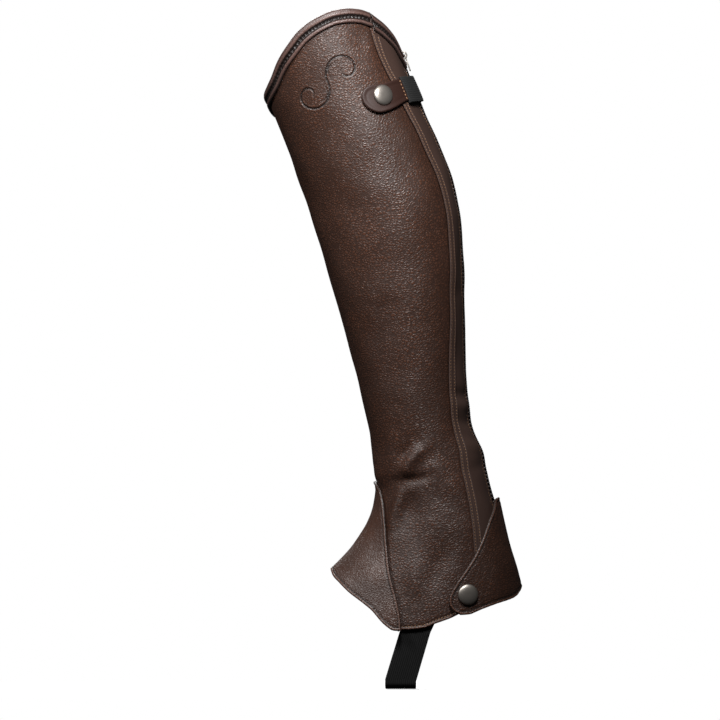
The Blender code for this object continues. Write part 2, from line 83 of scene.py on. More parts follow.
# The skin, from the top down: height, x at the shin, x at the back, half width, and how much fuller the back
# half of its ring is than the front half.
SKIN = (
    (0.067, -0.0790, 0.0370, 0.0545, 0.05),
    (0.040, -0.0700, 0.0435, 0.0545, 0.05),
    (0.000, -0.0585, 0.0580, 0.0545, 0.06),
    (-0.035, -0.0445, 0.0735, 0.0550, 0.08),
    (-0.065, -0.0335, 0.0850, 0.0550, 0.09),
    (-0.097, -0.0230, 0.0915, 0.0535, 0.10),
    (-0.158, -0.0050, 0.0940, 0.0480, 0.08),
    (-0.205, 0.0080, 0.0948, 0.0430, 0.05),
    (-0.236, 0.0155, 0.0970, 0.0402, 0.02),
    (-0.252, 0.0190, 0.0995, 0.0390, 0.01),
    (-0.267, 0.0218, 0.1043, 0.0383, 0.00),
    (-0.277, 0.0232, 0.1085, 0.0381, 0.00),
    (-0.290, 0.0245, 0.1111, 0.0382, 0.01),
    (-0.306, 0.0284, 0.1148, 0.0386, 0.04),
    (-0.318, 0.0272, 0.1184, 0.0390, 0.07),
    (-0.332, 0.0226, 0.1219, 0.0396, 0.11),
    (-0.346, 0.0139, 0.1250, 0.0402, 0.14),
    (-0.370, -0.0062, 0.1305, 0.0415, 0.20),
    (-0.392, -0.0320, 0.1335, 0.0425, 0.25),
    (-0.420, -0.0660, 0.1340, 0.0435, 0.30),
)
SHIN, BACK, HALF_WIDTH, FULLNESS = ([(row[0], row[k]) for row in SKIN] for k in (1, 2, 3, 4))

# The cut edges. Those that run round the leg are (turn, height), and those that run down it (height, turn).
TOP_EDGE = (
    (45.5, 0.0622),
    (54, 0.0645),
    (63, 0.0652),
    (75, 0.0638),
    (92, 0.0573),
    (107, 0.0483),
    (121, 0.0365),
    (136, 0.0240),
    (150, 0.0120),
    (165, 0.0040),
    (180, -0.0010),
    (205, -0.0085),
    (240, -0.0110),
    (275, -0.0020),
    (300, 0.0170),
    (314.5, 0.0290),
)
STRIP_TOP_EDGE = (
    (6, 0.0325),
    (10, 0.0360),
    (16, 0.0425),
    (25, 0.0494),
    (33, 0.0548),
    (40, 0.0588),
    (45.5, 0.0622),
)
INNER_STRIP_TOP_EDGE = ((6, 0.0320), (16, 0.0356), (30, 0.0346), (45.5, 0.0290))
BACK_SEAM = (
    (-0.415, 46),
    (-0.360, 50),
    (-0.320, 51.5),
    (-0.285, 50.5),
    (-0.252, 45.5),
    (-0.205, 39.5),
    (-0.158, 35),
    (-0.110, 32),
    (-0.080, 31.5),
    (-0.040, 35),
    (0.000, 38.5),
    (0.042, 44.8),
    (0.067, 45.5),
)
HEM = (
    (0, -0.3790),
    (15, -0.3810),
    (35, -0.3880),
    (50, -0.3950),
    (58, -0.4010),
    (63, -0.4050),
    (70, -0.4092),
    (75, -0.4128),
    (84, -0.4140),
    (92, -0.4110),
)
INSTEP_SEAM = (
    (-0.4150, 84.5),
    (-0.4036, 89),
    (-0.3893, 97),
    (-0.3712, 109.8),
    (-0.3498, 124.4),
    (-0.3300, 139.5),
    (-0.3141, 151),
    (-0.3060, 159),
    (-0.3010, 168),
)
INSTEP_TOP = ((168, -0.3010), (174, -0.2995), (180, -0.2987))
INSTEP_HEM = (
    (84, -0.4152),
    (88, -0.4150),
    (92, -0.4122),
    (106, -0.3988),
    (122, -0.3888),
    (150, -0.3765),
    (180, -0.3700),
)
UNDER_INSTEP = (
    (92, -0.4110),
    (104, -0.3930),
    (127, -0.3600),
    (150, -0.3290),
    (165, -0.3130),
    (173, -0.3070),
    (180, -0.3045),
)
FRONT_SEAM_TURN = 212
FLAP_EDGE = (
    (-0.4026, 58.5),
    (-0.3989, 63.6),
    (-0.3934, 67.0),
    (-0.3879, 68.0),
    (-0.3795, 66.4),
    (-0.3692, 62.0),
    (-0.3588, 56.0),
    (-0.3434, 47.0),
    (-0.3303, 37.3),
    (-0.3145, 18.0),
)
FLAP_TOP = ((0, -0.3130), (9, -0.3133), (18, -0.3145))
FLAP_HEM = (
    (0, -0.3820),
    (10, -0.3855),
    (18, -0.3890),
    (35, -0.3934),
    (47, -0.3983),
    (54, -0.4021),
    (58.5, -0.4026),
)

# Trims.
BINDING_DEPTH = 0.0093
MITRE = 8
SEAM_TAPE_WIDTH = 0.0070
SEAM_TAPE_END = -0.3860
INSTEP_FLARE = 0.0010
FLAP_FLARE = 0.0030
FLAP_TIP_AWAY = 0.0012

# Closing tab: the turns of its rounded end, its snap, and where the elastic starts and ends.
TAB_END, TAB_SNAP, TAB_ROOT, ELASTIC_END = 76, 59, 35, -38
TAB_COURSE = ((-38, 0.0035), (0, 0.0048), (35, 0.0035), (59, -0.0022), (76, -0.0048))
TAB_END_WIDTH, TAB_ROOT_WIDTH, ELASTIC_WIDTH = 0.0215, 0.0165, 0.0200
TAB_ROUND = 11.5
TAB_SNAP_ABOVE = 0.0016
TAB_LAYER = LAYER_GAP + SEAM_TAPE + LAYER_GAP + WEBBING
HEEL_SNAP_TURN, HEEL_SNAP_HEIGHT = 57.6, -0.3868
SNAP_RADIUS, SNAP_HEIGHT = 0.0080, 0.0030

# Foot strap: its outer face, from inside the hem down the outer side to the middle under the arch.
STRAP_WIDTH = 0.0240
STRAP_TURN = 78
STRAP_TOP, STRAP_LEAVES, STRAP_UNDER = -0.3990, -0.4160, -0.4600
STRAP_CORNER = (0.0455, -0.0335)
STRAP_CORNER_RADIUS = 0.0060

# Zip.
ZIP_GAP, ZIP_END = 0.0110, -0.3720
ZIP_TAPE_WIDTH, CHAIN_WIDTH, CHAIN, CHAIN_PROUD = 0.0280, 0.0064, 0.0028, 0.0013
SLIDER_SIZE, SLIDER_PROUD, SLIDER_HEIGHT = (0.0096, 0.0130, 0.0033), 0.0014, 0.0275
PULL_LENGTH, PULL_WIDTH, PULL_THICKNESS = 0.0134, 0.0052, 0.0010
PIVOT_LAYER, PIVOT_ABOVE = 0.0026, 0.0038
BRIDGE_RADIUS, BRIDGE_RISE, BRIDGE_REACH = 0.0006, 0.0026, 0.0027
EYE_RADIUS, EYE_LENGTH = 0.0005, 0.0048

# How a face falls away at an edge: (distance from the edge, rise).
CUT_EDGE = ((0, -0.0006), (0.0002, -0.0002), (0.0005, -0.00004), (0.0009, 0))
STITCHED_EDGE = (
    (0, -0.00065),
    (0.0002, -0.0002),
    (0.0006, 0.00022),
    (0.0011, 0.00036),
    (0.0017, 0.00015),
    (0.0024, -0.00036),
    (0.0031, -0.00005),
    (0.0045, 0.00010),
    (0.0065, 0),
)
PADDED_EDGE = ((0, -0.0008), (0.0003, -0.0002), (0.0010, 0.0002), (0.0022, 0.00010), (0.0034, -0.0001), (0.005, 0))
INNER_EDGE = ((0, 0.0004), (0.0003, 0.0001), (0.0008, 0))

# Creases seen from the outer side: (x, height) places, width, rise. Rises below zero are troughs.
SIDE_CREASES = (
    (((0.0650, -0.2715), (0.0575, -0.2773), (0.0520, -0.2843), (0.0482, -0.2920), (0.0466, -0.2967)), 0.0050, 0.0036),
    (((0.0560, -0.2690), (0.0480, -0.2780), (0.0430, -0.2880)), 0.0055, -0.0016),
    (((0.0400, -0.2990), (0.0500, -0.2985), (0.0600, -0.2968), (0.0700, -0.2935)), 0.0036, -0.0024),
    (((0.0489, -0.3014), (0.0458, -0.3099), (0.0427, -0.3192), (0.0396, -0.3293), (0.0381, -0.3410)), 0.0054, 0.0034),
    (((0.0550, -0.3050), (0.0520, -0.3180), (0.0500, -0.3330)), 0.0060, -0.0013),
    (((0.0660, -0.2850), (0.0740, -0.2900), (0.0810, -0.2980)), 0.0075, 0.0013),
    (((0.0700, -0.3060), (0.0800, -0.3130), (0.0860, -0.3240)), 0.0065, -0.0009),
    (((0.0850, -0.3450), (0.0740, -0.3640), (0.0660, -0.3860)), 0.0085, -0.0015),
    (((0.0560, -0.3560), (0.0590, -0.3700), (0.0600, -0.3950)), 0.0085, 0.0010),
    (((0.0160, 0.0560), (0.0150, 0.0440), (0.0170, 0.0280)), 0.0060, -0.0009),
    (((0.0030, 0.0500), (0.0000, 0.0380)), 0.0060, 0.0003),
    (((-0.0180, -0.0850), (0.0050, -0.0880), (0.0260, -0.0840)), 0.0060, -0.0003),
    (((0.0120, -0.1600), (0.0300, -0.1640), (0.0480, -0.1600)), 0.0060, -0.0003),
    (((0.0300, -0.2350), (0.0430, -0.2400), (0.0560, -0.2380)), 0.0050, -0.0004),
)

# Creases given by (turn, height): round the ankle's front, on the two back strips and on the inner side.
ROUND_CREASES = (
    (((150, -0.2860), (180, -0.2900), (206, -0.2860)), 0.0050, -0.0003),
    (((145, -0.2980), (165, -0.2955), (190, -0.2960)), 0.0045, 0.0005),
    (((160, -0.2600), (185, -0.2630), (215, -0.2580)), 0.0060, -0.0003),
    (((6, -0.2300), (20, -0.2325), (42, -0.2300)), 0.0048, -0.0014),
    (((6, -0.2400), (24, -0.2410), (44, -0.2380)), 0.0046, 0.0013),
    (((6, -0.2520), (22, -0.2540), (46, -0.2500)), 0.0048, -0.0014),
    (((6, -0.2700), (24, -0.2715), (48, -0.2680)), 0.0052, 0.0014),
    (((6, -0.2850), (22, -0.2870), (48, -0.2900)), 0.0050, -0.0008),
    (((4, -0.1500), (20, -0.1520), (36, -0.1500)), 0.0060, -0.0004),
    (((354, -0.2340), (338, -0.2330), (318, -0.2370)), 0.0045, -0.0009),
    (((354, -0.2450), (336, -0.2440), (314, -0.2480)), 0.0045, 0.0007),
    (((354, -0.2600), (334, -0.2590), (312, -0.2640)), 0.0050, -0.0010),
    (((356, -0.2880), (340, -0.2890), (312, -0.2850)), 0.0050, -0.0007),
    (((300, -0.2720), (278, -0.2760), (252, -0.2880), (240, -0.2980)), 0.0050, 0.0020),
    (((304, -0.2900), (276, -0.2960), (246, -0.3060)), 0.0040, -0.0016),
    (((290, -0.3050), (262, -0.3130), (240, -0.3300)), 0.0055, 0.0017),
    (((296, -0.3220), (272, -0.3350), (258, -0.3520)), 0.0060, -0.0007),
    (((300, -0.1550), (270, -0.1620), (240, -0.1590)), 0.0060, -0.0004),
    (((296, -0.2200), (270, -0.2260), (236, -0.2210)), 0.0055, -0.0005),
    (((285, -0.0600), (262, -0.0700), (240, -0.0660)), 0.0070, -0.0004),
)


def smooth(knots, at):
    """Values at places along (place, value) knots, on a curve that never overshoots them."""
    places, values = np.array(sorted(knots), float).T
    at = np.clip(np.asarray(at, float), places[0], places[-1])
    i = np.clip(np.searchsorted(places, at, side="right") - 1, 0, len(places) - 2)
    lengths = np.diff(places)
    steps = np.diff(values) / lengths
    product, total = steps[:-1] * steps[1:], steps[:-1] + steps[1:]
    bends = np.where(product > 0, 2 * product / np.where(product > 0, total, 1), 0)
    slopes = np.concatenate([steps[:1], bends, steps[-1:]])
    u = (at - places[i]) / lengths[i]
    return (
        values[i] * (1 + 2 * u) * (1 - u) ** 2
        + values[i + 1] * u * u * (3 - 2 * u)
        + lengths[i] * (slopes[i] * u * (1 - u) ** 2 - slopes[i + 1] * u * u * (1 - u))
    )


def along(knots):
    return lambda at: smooth(knots, at)


def mirrored(knots):
    """An edge given by turn, for the inner side."""
    return tuple((360 - turn, height) for turn, height in knots)


def unit(vectors):
    return vectors / np.linalg.norm(vectors, axis=-1, keepdims=True)


def dot(a, b):
    return (a * b).sum(-1)


def skin(turn, height):
    """Points of the skin."""
    turn, height = np.broadcast_arrays(np.asarray(turn, float), np.asarray(height, float))
    shin, back = smooth(SHIN, height), smooth(BACK, height)
    c, s = np.cos(np.radians(turn)), np.sin(np.radians(turn))
    across = smooth(HALF_WIDTH, height) * s * (1 + smooth(FULLNESS, height) * c)
    return np.stack([(shin + back) / 2 + (back - shin) / 2 * c, -across, height], -1)


def around(turn, height):
    """Points of the skin, how they move per degree of turn and metre of height, and the skin's normals."""
    degree, step = 0.5, 0.002
    turn, height = np.broadcast_arrays(np.asarray(turn, float), np.asarray(height, float))
    along_turn = (skin(turn + degree, height) - skin(turn - degree, height)) / (2 * degree)
    along_height = (skin(turn, height + step) - skin(turn, height - step)) / (2 * step)
    return skin(turn, height), along_turn, along_height, unit(np.cross(along_height, along_turn))


def walked(turn, height, direction):
    """The turns and heights reached by going a short way along the skin."""
    _, along_turn, along_height, _ = around(turn, height)
    a, b, c = dot(along_turn, along_turn), dot(along_turn, along_height), dot(along_height, along_height)
    p, q = dot(direction, along_turn), dot(direction, along_height)
    scale = a * c - b * b
    return turn + (p * c - q * b) / scale, height + (q * a - p * b) / scale


def turn_at(distance, height):
    """The turn of a place that far round from the middle of the zip."""
    return np.degrees(np.arcsin(distance / smooth(HALF_WIDTH, height)))


def turn_of_x(x, height):
    """The turn of the outer side's place with this x."""
    shin, back = smooth(SHIN, height), smooth(BACK, height)
    return np.degrees(np.arccos(np.clip((2 * x - shin - back) / (back - shin), -1, 1)))


def seam_turn(height, side=1):
    turn = smooth(BACK_SEAM, height)
    return turn if side > 0 else 360 - turn


def apart(turn, height, distance):
    """A turn moved round by a distance in metres, at that height."""
    _, along_turn, _, _ = around(turn, height)
    return turn + distance / np.linalg.norm(along_turn, axis=-1)


def nearest(points, line):
    """For each point, its distance to a line of points, and how far along the line that is, from 0 to 1."""
    best = np.full(len(points), np.inf)
    share = np.zeros(len(points))
    start, step = line[:-1], np.diff(line, axis=0)
    for k in range(len(start)):
        length = max(dot(step[k], step[k]), 1e-18)
        t = np.clip(dot(points - start[k], step[k]) / length, 0, 1)
        away = np.linalg.norm(points - start[k] - t[:, None] * step[k], axis=-1)
        closer = away < best
        best[closer], share[closer] = away[closer], (k + t[closer]) / len(start)
    return best, share


def evenly(points, count):
    """A line of points resampled at even distances."""
    points = np.asarray(points, float)
    walk = np.concatenate([[0], np.cumsum(np.linalg.norm(np.diff(points, axis=0), axis=-1))])
    at = np.linspace(0, walk[-1], count)
    return np.stack([np.interp(at, walk, points[:, k]) for k in range(points.shape[1])], -1)


class CreaseMap:
    """How far the worn leather stands proud of the skin, or is sunk in it, by turn and height."""

    DEGREE, STEP, LOW, HIGH = 0.5, 0.001, -0.4260, 0.0700
    UNEVEN = 0.00011

    def __init__(self):
        self.turns = np.arange(0, 360, self.DEGREE)
        self.heights = np.arange(self.LOW, self.HIGH, self.STEP)
        turn, height = np.meshgrid(self.turns, self.heights, indexing="ij")
        points = skin(turn, height).reshape(-1, 3)
        rise = self.uneven(points)
        for places, width, high in SIDE_CREASES:
            x, z = np.array(places).T
            self.add(rise, points, turn_of_x(x, z), z, width, high)
        for places, width, high in ROUND_CREASES:
            self.add(rise, points, *np.array(places).T, width, high)
        self.rise = rise.reshape(turn.shape)

    def uneven(self, points):
        """Slow waves, as worn leather is never quite even."""
        random = np.random.default_rng(11)
        total = np.zeros(len(points))
        for _ in range(14):
            direction = unit(random.normal(size=3))
            length = random.uniform(0.022, 0.060)
            phase = random.uniform(0, 2 * np.pi)
            total += np.sin(points @ direction * 2 * np.pi / length + phase)
        return total * self.UNEVEN

    def add(self, rise, points, turns, heights, width, high):
        bent = evenly(np.stack([turns, heights * 1000], -1), 14)
        line = skin(bent[:, 0], bent[:, 1] / 1000)
        reach = 3 * width
        near = np.all((points > line.min(0) - reach) & (points < line.max(0) + reach), axis=-1)
        away, share = nearest(points[near], line)
        fade = np.sin(np.pi * np.clip(share, 0.06, 0.94)) ** 0.8
        rise[near] += high * fade * np.exp(-((away / width) ** 2))

    def at(self, turn, height):
        i = (np.asarray(turn) % 360) / self.DEGREE
        j = np.clip((np.asarray(height) - self.LOW) / self.STEP, 0, len(self.heights) - 1.001)
        i0, j0 = np.floor(i).astype(int), np.floor(j).astype(int)
        p, q = i - i0, j - j0
        i1 = (i0 + 1) % len(self.turns)
        i0 = i0 % len(self.turns)
        here = self.rise[i0, j0] * (1 - q) + self.rise[i0, j0 + 1] * q
        there = self.rise[i1, j0] * (1 - q) + self.rise[i1, j0 + 1] * q
        return here * (1 - p) + there * p


CREASES = CreaseMap()


def form(turn, height, layer=0.0):
    """Points at a layer off the creased skin, and the skin's normals there."""
    point, _, _, normal = around(turn, height)
    lift = layer + CREASES.at(turn, height) * sizes().crease_depth
    return point + normal * np.broadcast_to(lift, point.shape[:-1])[..., None], normal


def sizes():
    return bpy.context.scene.chap_sizes


def colours():
    return bpy.context.scene.chap_colours


# Shader and geometry node trees.


class Wire:
    """A node's output, on which Python's operators add Math nodes."""

    def __init__(self, tree, socket):
        self.tree, self.socket = tree, socket

    def math(self, operation, first, second):
        return self.tree.node("ShaderNodeMath", {"operation": operation}, {0: first, 1: second})

    def __add__(self, other):
        return self.math("ADD", self, other)

    __radd__ = __add__

    def __sub__(self, other):
        return self.math("SUBTRACT", self, other)

    def __rsub__(self, other):
        return self.math("SUBTRACT", other, self)

    def __mul__(self, other):
        return self.math("MULTIPLY", self, other)

    __rmul__ = __mul__

    def __truediv__(self, other):
        return self.math("DIVIDE", self, other)

    def __pow__(self, other):
        return self.math("POWER", self, other)


class Tree:
    """A node tree that grows by one call a node."""

    def __init__(self, tree):
        self.tree = tree

    def node(self, kind, settings=(), inputs=(), output=0):
        made = self.tree.nodes.new(kind)
        for name, value in dict(settings).items():
            if name == "stops":
                ramp = made.color_ramp
                while len(ramp.elements) < len(value):
                    ramp.elements.new(0.5)
                for element, (place, colour) in zip(ramp.elements, value):
                    element.position, element.color = place, (*colour, 1)
            else:
                setattr(made, name, value)
        for name, value in dict(inputs).items():
            self.plug(made.inputs[name], value)
        return Wire(self, made.outputs[output]) if len(made.outputs) else made

    def plug(self, socket, value):
        if isinstance(value, Wire):
            self.tree.links.new(value.socket, socket)
        elif hasattr(socket.default_value, "__len__") and len(value) < len(socket.default_value):
            socket.default_value = (*value, 1)
        else:
            socket.default_value = value


class Look(Tree):
    """A material. Its patterns are in metres, on Object coordinates or on the piece's own UV map."""

    def __init__(self, name):
        self.material = bpy.data.materials.new(name)
        self.material.use_nodes = True
        super().__init__(self.material.node_tree)
        self.shader = self.tree.nodes["Principled BSDF"]
        self.place = self.node("ShaderNodeTexCoord", output=3)

    def noise(self, size, detail=2.0, roughness=0.5, at=None):
        facts = {"Vector": at or self.place, "Scale": 1 / size, "Detail": detail, "Roughness": roughness}
        return self.node("ShaderNodeTexNoise", {}, facts)

    def between(self, value, low, high, start=0.0, end=1.0):
        facts = {0: value, 1: low, 2: high, 3: start, 4: end}
        return self.node("ShaderNodeMapRange", {"interpolation_type": "SMOOTHSTEP"}, facts)

    def mix(self, share, first, second, blend="MIX"):
        facts = {0: share, 6: first, 7: second}
        return self.node("ShaderNodeMix", {"data_type": "RGBA", "blend_type": blend}, facts, 2)

    def bump(self, rise, distance, strength=1.0, over=None):
        facts = {"Height": rise, "Distance": distance, "Strength": strength}
        if over:
            facts["Normal"] = over
        return self.node("ShaderNodeBump", {}, facts)

    def stretched(self, scale):
        return self.node("ShaderNodeMapping", {}, {0: self.place, 3: scale})

    def warped(self, size, amount, at=None):
        """Coordinates pushed about by noise."""
        at = at or self.place
        push = self.node("ShaderNodeTexNoise", {}, {"Vector": at, "Scale": 1 / size, "Detail": 1.0}, 1)
        centred = self.node("ShaderNodeVectorMath", {"operation": "SUBTRACT"}, {0: push, 1: (0.5, 0.5, 0.5)})
        scaled = self.node("ShaderNodeVectorMath", {"operation": "SCALE"}, {0: centred, "Scale": amount})
        return self.node("ShaderNodeVectorMath", {"operation": "ADD"}, {0: at, 1: scaled})

    def cells(self, size, at=None, feature="DISTANCE_TO_EDGE"):
        return self.node("ShaderNodeTexVoronoi", {"feature": feature}, {"Vector": at or self.place, "Scale": 1 / size})

    def attribute(self, name):
        return self.node("ShaderNodeAttribute", {"attribute_name": name}, output=2)

    def finish(self, **inputs):
        for name, value in inputs.items():
            self.plug(self.shader.inputs[name.replace("_", " ")], value)
        return self.material


def once(make):
    """Makes a material when first asked for, unless one of that name exists.

    The frame brings a plain material for each of the record's slots. Those named smooth_leather,
    oxblood_leather, black_elastic and old_nickel are found here and used as they are.
    """

    def found():
        return bpy.data.materials.get(make.__name__) or make(Look(make.__name__))

    return found


def darker(colour, factor):
    return tuple(channel * factor for channel in colour)


def worn_and_painted_light(look, base, brown, light=1.9):
    """The colour darkened at cut edges, with painted shade in the grooves, and lighter along raised beads, partly
    rubbed wear and partly a painted highlight.
    """
    relief = look.attribute("relief")
    # Lighter along raised beads: partly rubbed wear, partly a painted highlight.
    base = look.mix(look.between(relief, 0.10, 0.34) * 0.75, base, darker(brown, light))
    # Darker in grooves and troughs: painted shade.
    base = look.mix(look.between(relief, -0.34, -0.04), darker(brown, 0.16), base)
    return look.mix(look.between(look.attribute("edge_distance"), 0.0, 0.0008), darker(brown, 0.30), base)


@once
def pebbled_leather(look):
    """Full-grain leather with rounded pebbles, with a painted highlight on their tops and painted shade in the pits
    between.
    """
    brown = tuple(colours().grain_brown)
    size = sizes().grain_size
    warped = look.warped(size * 1.8, size * 1.1, look.stretched((1.0, 1, 1.25)))
    pebbles = look.between(look.cells(size, warped), 0.0, 0.34)
    uneven = look.noise(size * 2.2, 1.0)
    rubbed = look.noise(0.020, 3.0, 0.6)
    patches = look.noise(0.060, 2.0)
    base = look.mix(look.between(patches, 0.35, 0.65), darker(brown, 0.80), darker(brown, 1.20))
    base = look.mix(look.between(rubbed, 0.45, 0.75) * 0.4, base, (brown[0] * 1.5, brown[1] * 1.45, brown[2] * 1.4))
    # Painted shade in the pits between the pebbles.
    base = look.mix(pebbles, darker(brown, 0.42), base)
    # Painted highlight on the pebbles' tops, where the uneven noise is high.
    base = look.mix(look.between(uneven, 0.55, 0.75) * pebbles * 0.4, base, darker(brown, 1.6))
    rough = look.between(rubbed, 0.3, 0.7, 0.42, 0.36) + (1 - pebbles) * 0.15
    soft = look.bump(rubbed, 0.0010, 0.4)
    return look.finish(
        Base_Color=worn_and_painted_light(look, base, brown),
        Roughness=rough,
        Normal=look.bump(pebbles * (uneven * 0.9 + 0.55), 0.00017, 1.0, soft),
        Specular_IOR_Level=0.60,
    )


@once
def smooth_leather(look):
    """Calf leather with a fine grain and a soft shine."""
    return fine_grained(look, tuple(colours().smooth_brown), 2.6, 0.30)


@once
def binding_leather_painted_light(look):
    """The bindings' strip of the same leather, pulled tight, its brown painted lighter as a highlight on the rim."""
    return fine_grained(look, tuple(colours().binding_brown_painted_light), 1.7, 0.70)


def fine_grained(look, brown, light, shine):
    warped = look.warped(0.0016, 0.0010)
    grain = look.between(look.cells(0.0009, warped), 0.0, 0.28)
    wrinkle = look.noise(0.006, 4.0, 0.65, look.stretched((1, 1, 1.6)))
    patches = look.noise(0.035, 3.0)
    base = look.mix(look.between(patches, 0.35, 0.7), darker(brown, 0.75), darker(brown, 1.25))
    # Painted shade in the pits of the fine grain.
    base = worn_and_painted_light(look, look.mix(grain * 0.35 + 0.65, darker(brown, 0.45), base), brown, light)
    rough = look.between(patches, 0.3, 0.7, 0.46, 0.36) + (1 - grain) * 0.05
    return look.finish(
        Base_Color=base,
        Roughness=rough,
        Normal=look.bump(grain, 0.00007, 0.8, look.bump(wrinkle, 0.0005, 0.5)),
        Specular_IOR_Level=shine,
    )


@once
def instep_leather(look):
    """The same hide as the panels where it is drawn smooth over the instep: low pebbles and fine wrinkles."""
    brown = tuple(colours().grain_brown)
    warped = look.warped(0.0030, 0.0018, look.stretched((1, 1, 1.2)))
    pebbles = look.between(look.cells(0.0018, warped), 0.0, 0.34)
    wrinkle = look.noise(0.0045, 4.0, 0.65)
    patches = look.noise(0.030, 3.0)
    base = look.mix(look.between(patches, 0.35, 0.7), darker(brown, 0.85), darker(brown, 1.30))
    # Painted shade in the pits between the low pebbles.
    base = worn_and_painted_light(look, look.mix(pebbles * 0.45 + 0.55, darker(brown, 0.40), base), brown)
    rough = look.between(patches, 0.3, 0.7, 0.46, 0.38) + (1 - pebbles) * 0.04
    return look.finish(
        Base_Color=base,
        Roughness=rough,
        Normal=look.bump(pebbles, 0.00016, 0.9, look.bump(wrinkle, 0.0006, 0.5)),
        Specular_IOR_Level=0.8,
    )


@once
def flesh_side(look):
    """The napped back of the leather."""
    tan = tuple(colours().flesh_brown)
    nap = look.noise(0.0007, 5.0, 0.75)
    clouds = look.noise(0.018, 4.0, 0.6)
    base = look.mix(look.between(clouds, 0.3, 0.7), darker(tan, 0.75), darker(tan, 1.2))
    base = look.mix(nap, darker(tan, 0.6), base)
    return look.finish(
        Base_Color=base, Roughness=0.92, Normal=look.bump(nap, 0.00018, 0.8), Specular_IOR_Level=0.25
    )


@once
def oxblood_leather(look):
    """Polished dark red leather, rubbed darker at its edges."""
    red = tuple(colours().oxblood)
    grain = look.between(look.cells(0.0008, look.warped(0.0015, 0.0009)), 0.0, 0.25)
    clouds = look.noise(0.012, 3.0)
    edge = look.between(look.attribute("edge_distance"), 0.0, 0.0012)
    base = look.mix(look.between(clouds, 0.3, 0.7), darker(red, 0.7), darker(red, 1.4))
    base = look.mix(edge, darker(red, 0.5), base)
    rough = look.between(clouds, 0.3, 0.7, 0.50, 0.40)
    return look.finish(
        Base_Color=base,
        Roughness=rough,
        Normal=look.bump(grain, 0.00004, 0.6),
        Coat_Weight=look.between(clouds, 0.2, 0.8, 0.0, 0.03),
        Coat_Roughness=0.18,
        Specular_IOR_Level=0.07,
    )


def woven(look, colour, rib, weft, deep):
    """Woven webbing: ribs that run along it and the weft across them, on the piece's UV map in metres."""
    flat = look.node("ShaderNodeUVMap", {"uv_map": "flat"})
    parts = look.node("ShaderNodeSeparateXYZ", {}, {0: flat})
    across, length = parts, Wire(look, parts.socket.node.outputs[1])
    column = look.node("ShaderNodeMath", {"operation": "FLOOR"}, {0: across / rib})
    odd = look.node("ShaderNodeMath", {"operation": "MODULO"}, {0: column, 1: 2.0})
    wave = look.node("ShaderNodeMath", {"operation": "SINE"}, {0: (length / weft + odd * 0.5) * 2 * np.pi})
    ribs = look.node("ShaderNodeMath", {"operation": "SINE"}, {0: across / rib * 2 * np.pi})
    fuzz = look.noise(0.0005, 4.0, 0.7)
    height = wave * 0.35 + ribs * 0.35 + fuzz * 0.5
    # Darker in the weave's hollows and lighter on its raised threads: painted shade and a painted highlight.
    base = look.mix(look.between(height, -0.3, 0.8), darker(colour, 0.35), darker(colour, 1.5))
    return look.finish(
        Base_Color=base, Roughness=0.86, Normal=look.bump(height, deep, 0.9), Specular_IOR_Level=0.3
    )


@once
def black_elastic(look):
    return woven(look, tuple(colours().elastic_black), 0.0012, 0.0011, 0.00016)


@once
def zip_cloth(look):
    return woven(look, tuple(colours().tape_brown), 0.0010, 0.0009, 0.00012)


@once
def moulded_teeth(look):
    colour = tuple(colours().tape_brown)
    clouds = look.noise(0.004, 3.0)
    base = look.mix(clouds, darker(colour, 0.7), darker(colour, 1.5))
    return look.finish(Base_Color=base, Roughness=look.between(clouds, 0.3, 0.7, 0.42, 0.32))


@once
def old_nickel(look):
    """Nickel gone warm and dull, with fine scratches and rubbed spots."""
    metal = tuple(colours().nickel)
    clouds = look.noise(0.0035, 4.0, 0.6)
    scratches = look.noise(0.0009, 3.0, 0.6, look.stretched((1, 1, 7)))
    base = look.mix(look.between(clouds, 0.35, 0.7), darker(metal, 0.62), metal)
    rough = look.between(clouds, 0.3, 0.7, 0.40, 0.28) + scratches * 0.06
    return look.finish(
        Base_Color=base, Roughness=rough, Metallic=1.0, Normal=look.bump(scratches, 0.00003, 0.4)
    )


def thread(look, colour):
    twist = look.noise(0.00035, 2.0, 0.6)
    base = look.mix(twist, darker(colour, 0.55), darker(colour, 1.35))
    return look.finish(Base_Color=base, Roughness=0.62, Normal=look.bump(twist, 0.00008, 0.7))


@once
def tan_thread(look):
    return thread(look, tuple(colours().thread_tan))


@once
def dark_thread(look):
    return thread(look, tuple(colours().thread_dark))


# Meshes.


def put(name, mesh, looks, body="chap"):
    """An object of that mesh, at the origin, riding on a body."""
    made = bpy.data.objects.new(name, mesh)
    for look in looks:
        mesh.materials.append(look)
    mesh.shade_smooth()
    bpy.context.scene.collection.objects.link(made)
    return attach(made, body)


def stand_for(made, slot, *nodes):
    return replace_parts(made, *nodes)


def grid_faces(columns, rows):
    corner = (np.arange(columns - 1)[:, None] * rows + np.arange(rows - 1)).reshape(-1)
    return np.stack([corner, corner + rows, corner + rows + 1, corner + 1], -1)


def grid_border(columns, rows):
    """The indices round a grid, once round."""
    down = np.arange(columns) * rows
    return np.concatenate(
        [np.arange(rows - 1), rows - 1 + down[:-1], down[-1] + np.arange(rows - 1, 0, -1), down[:0:-1]]
    )


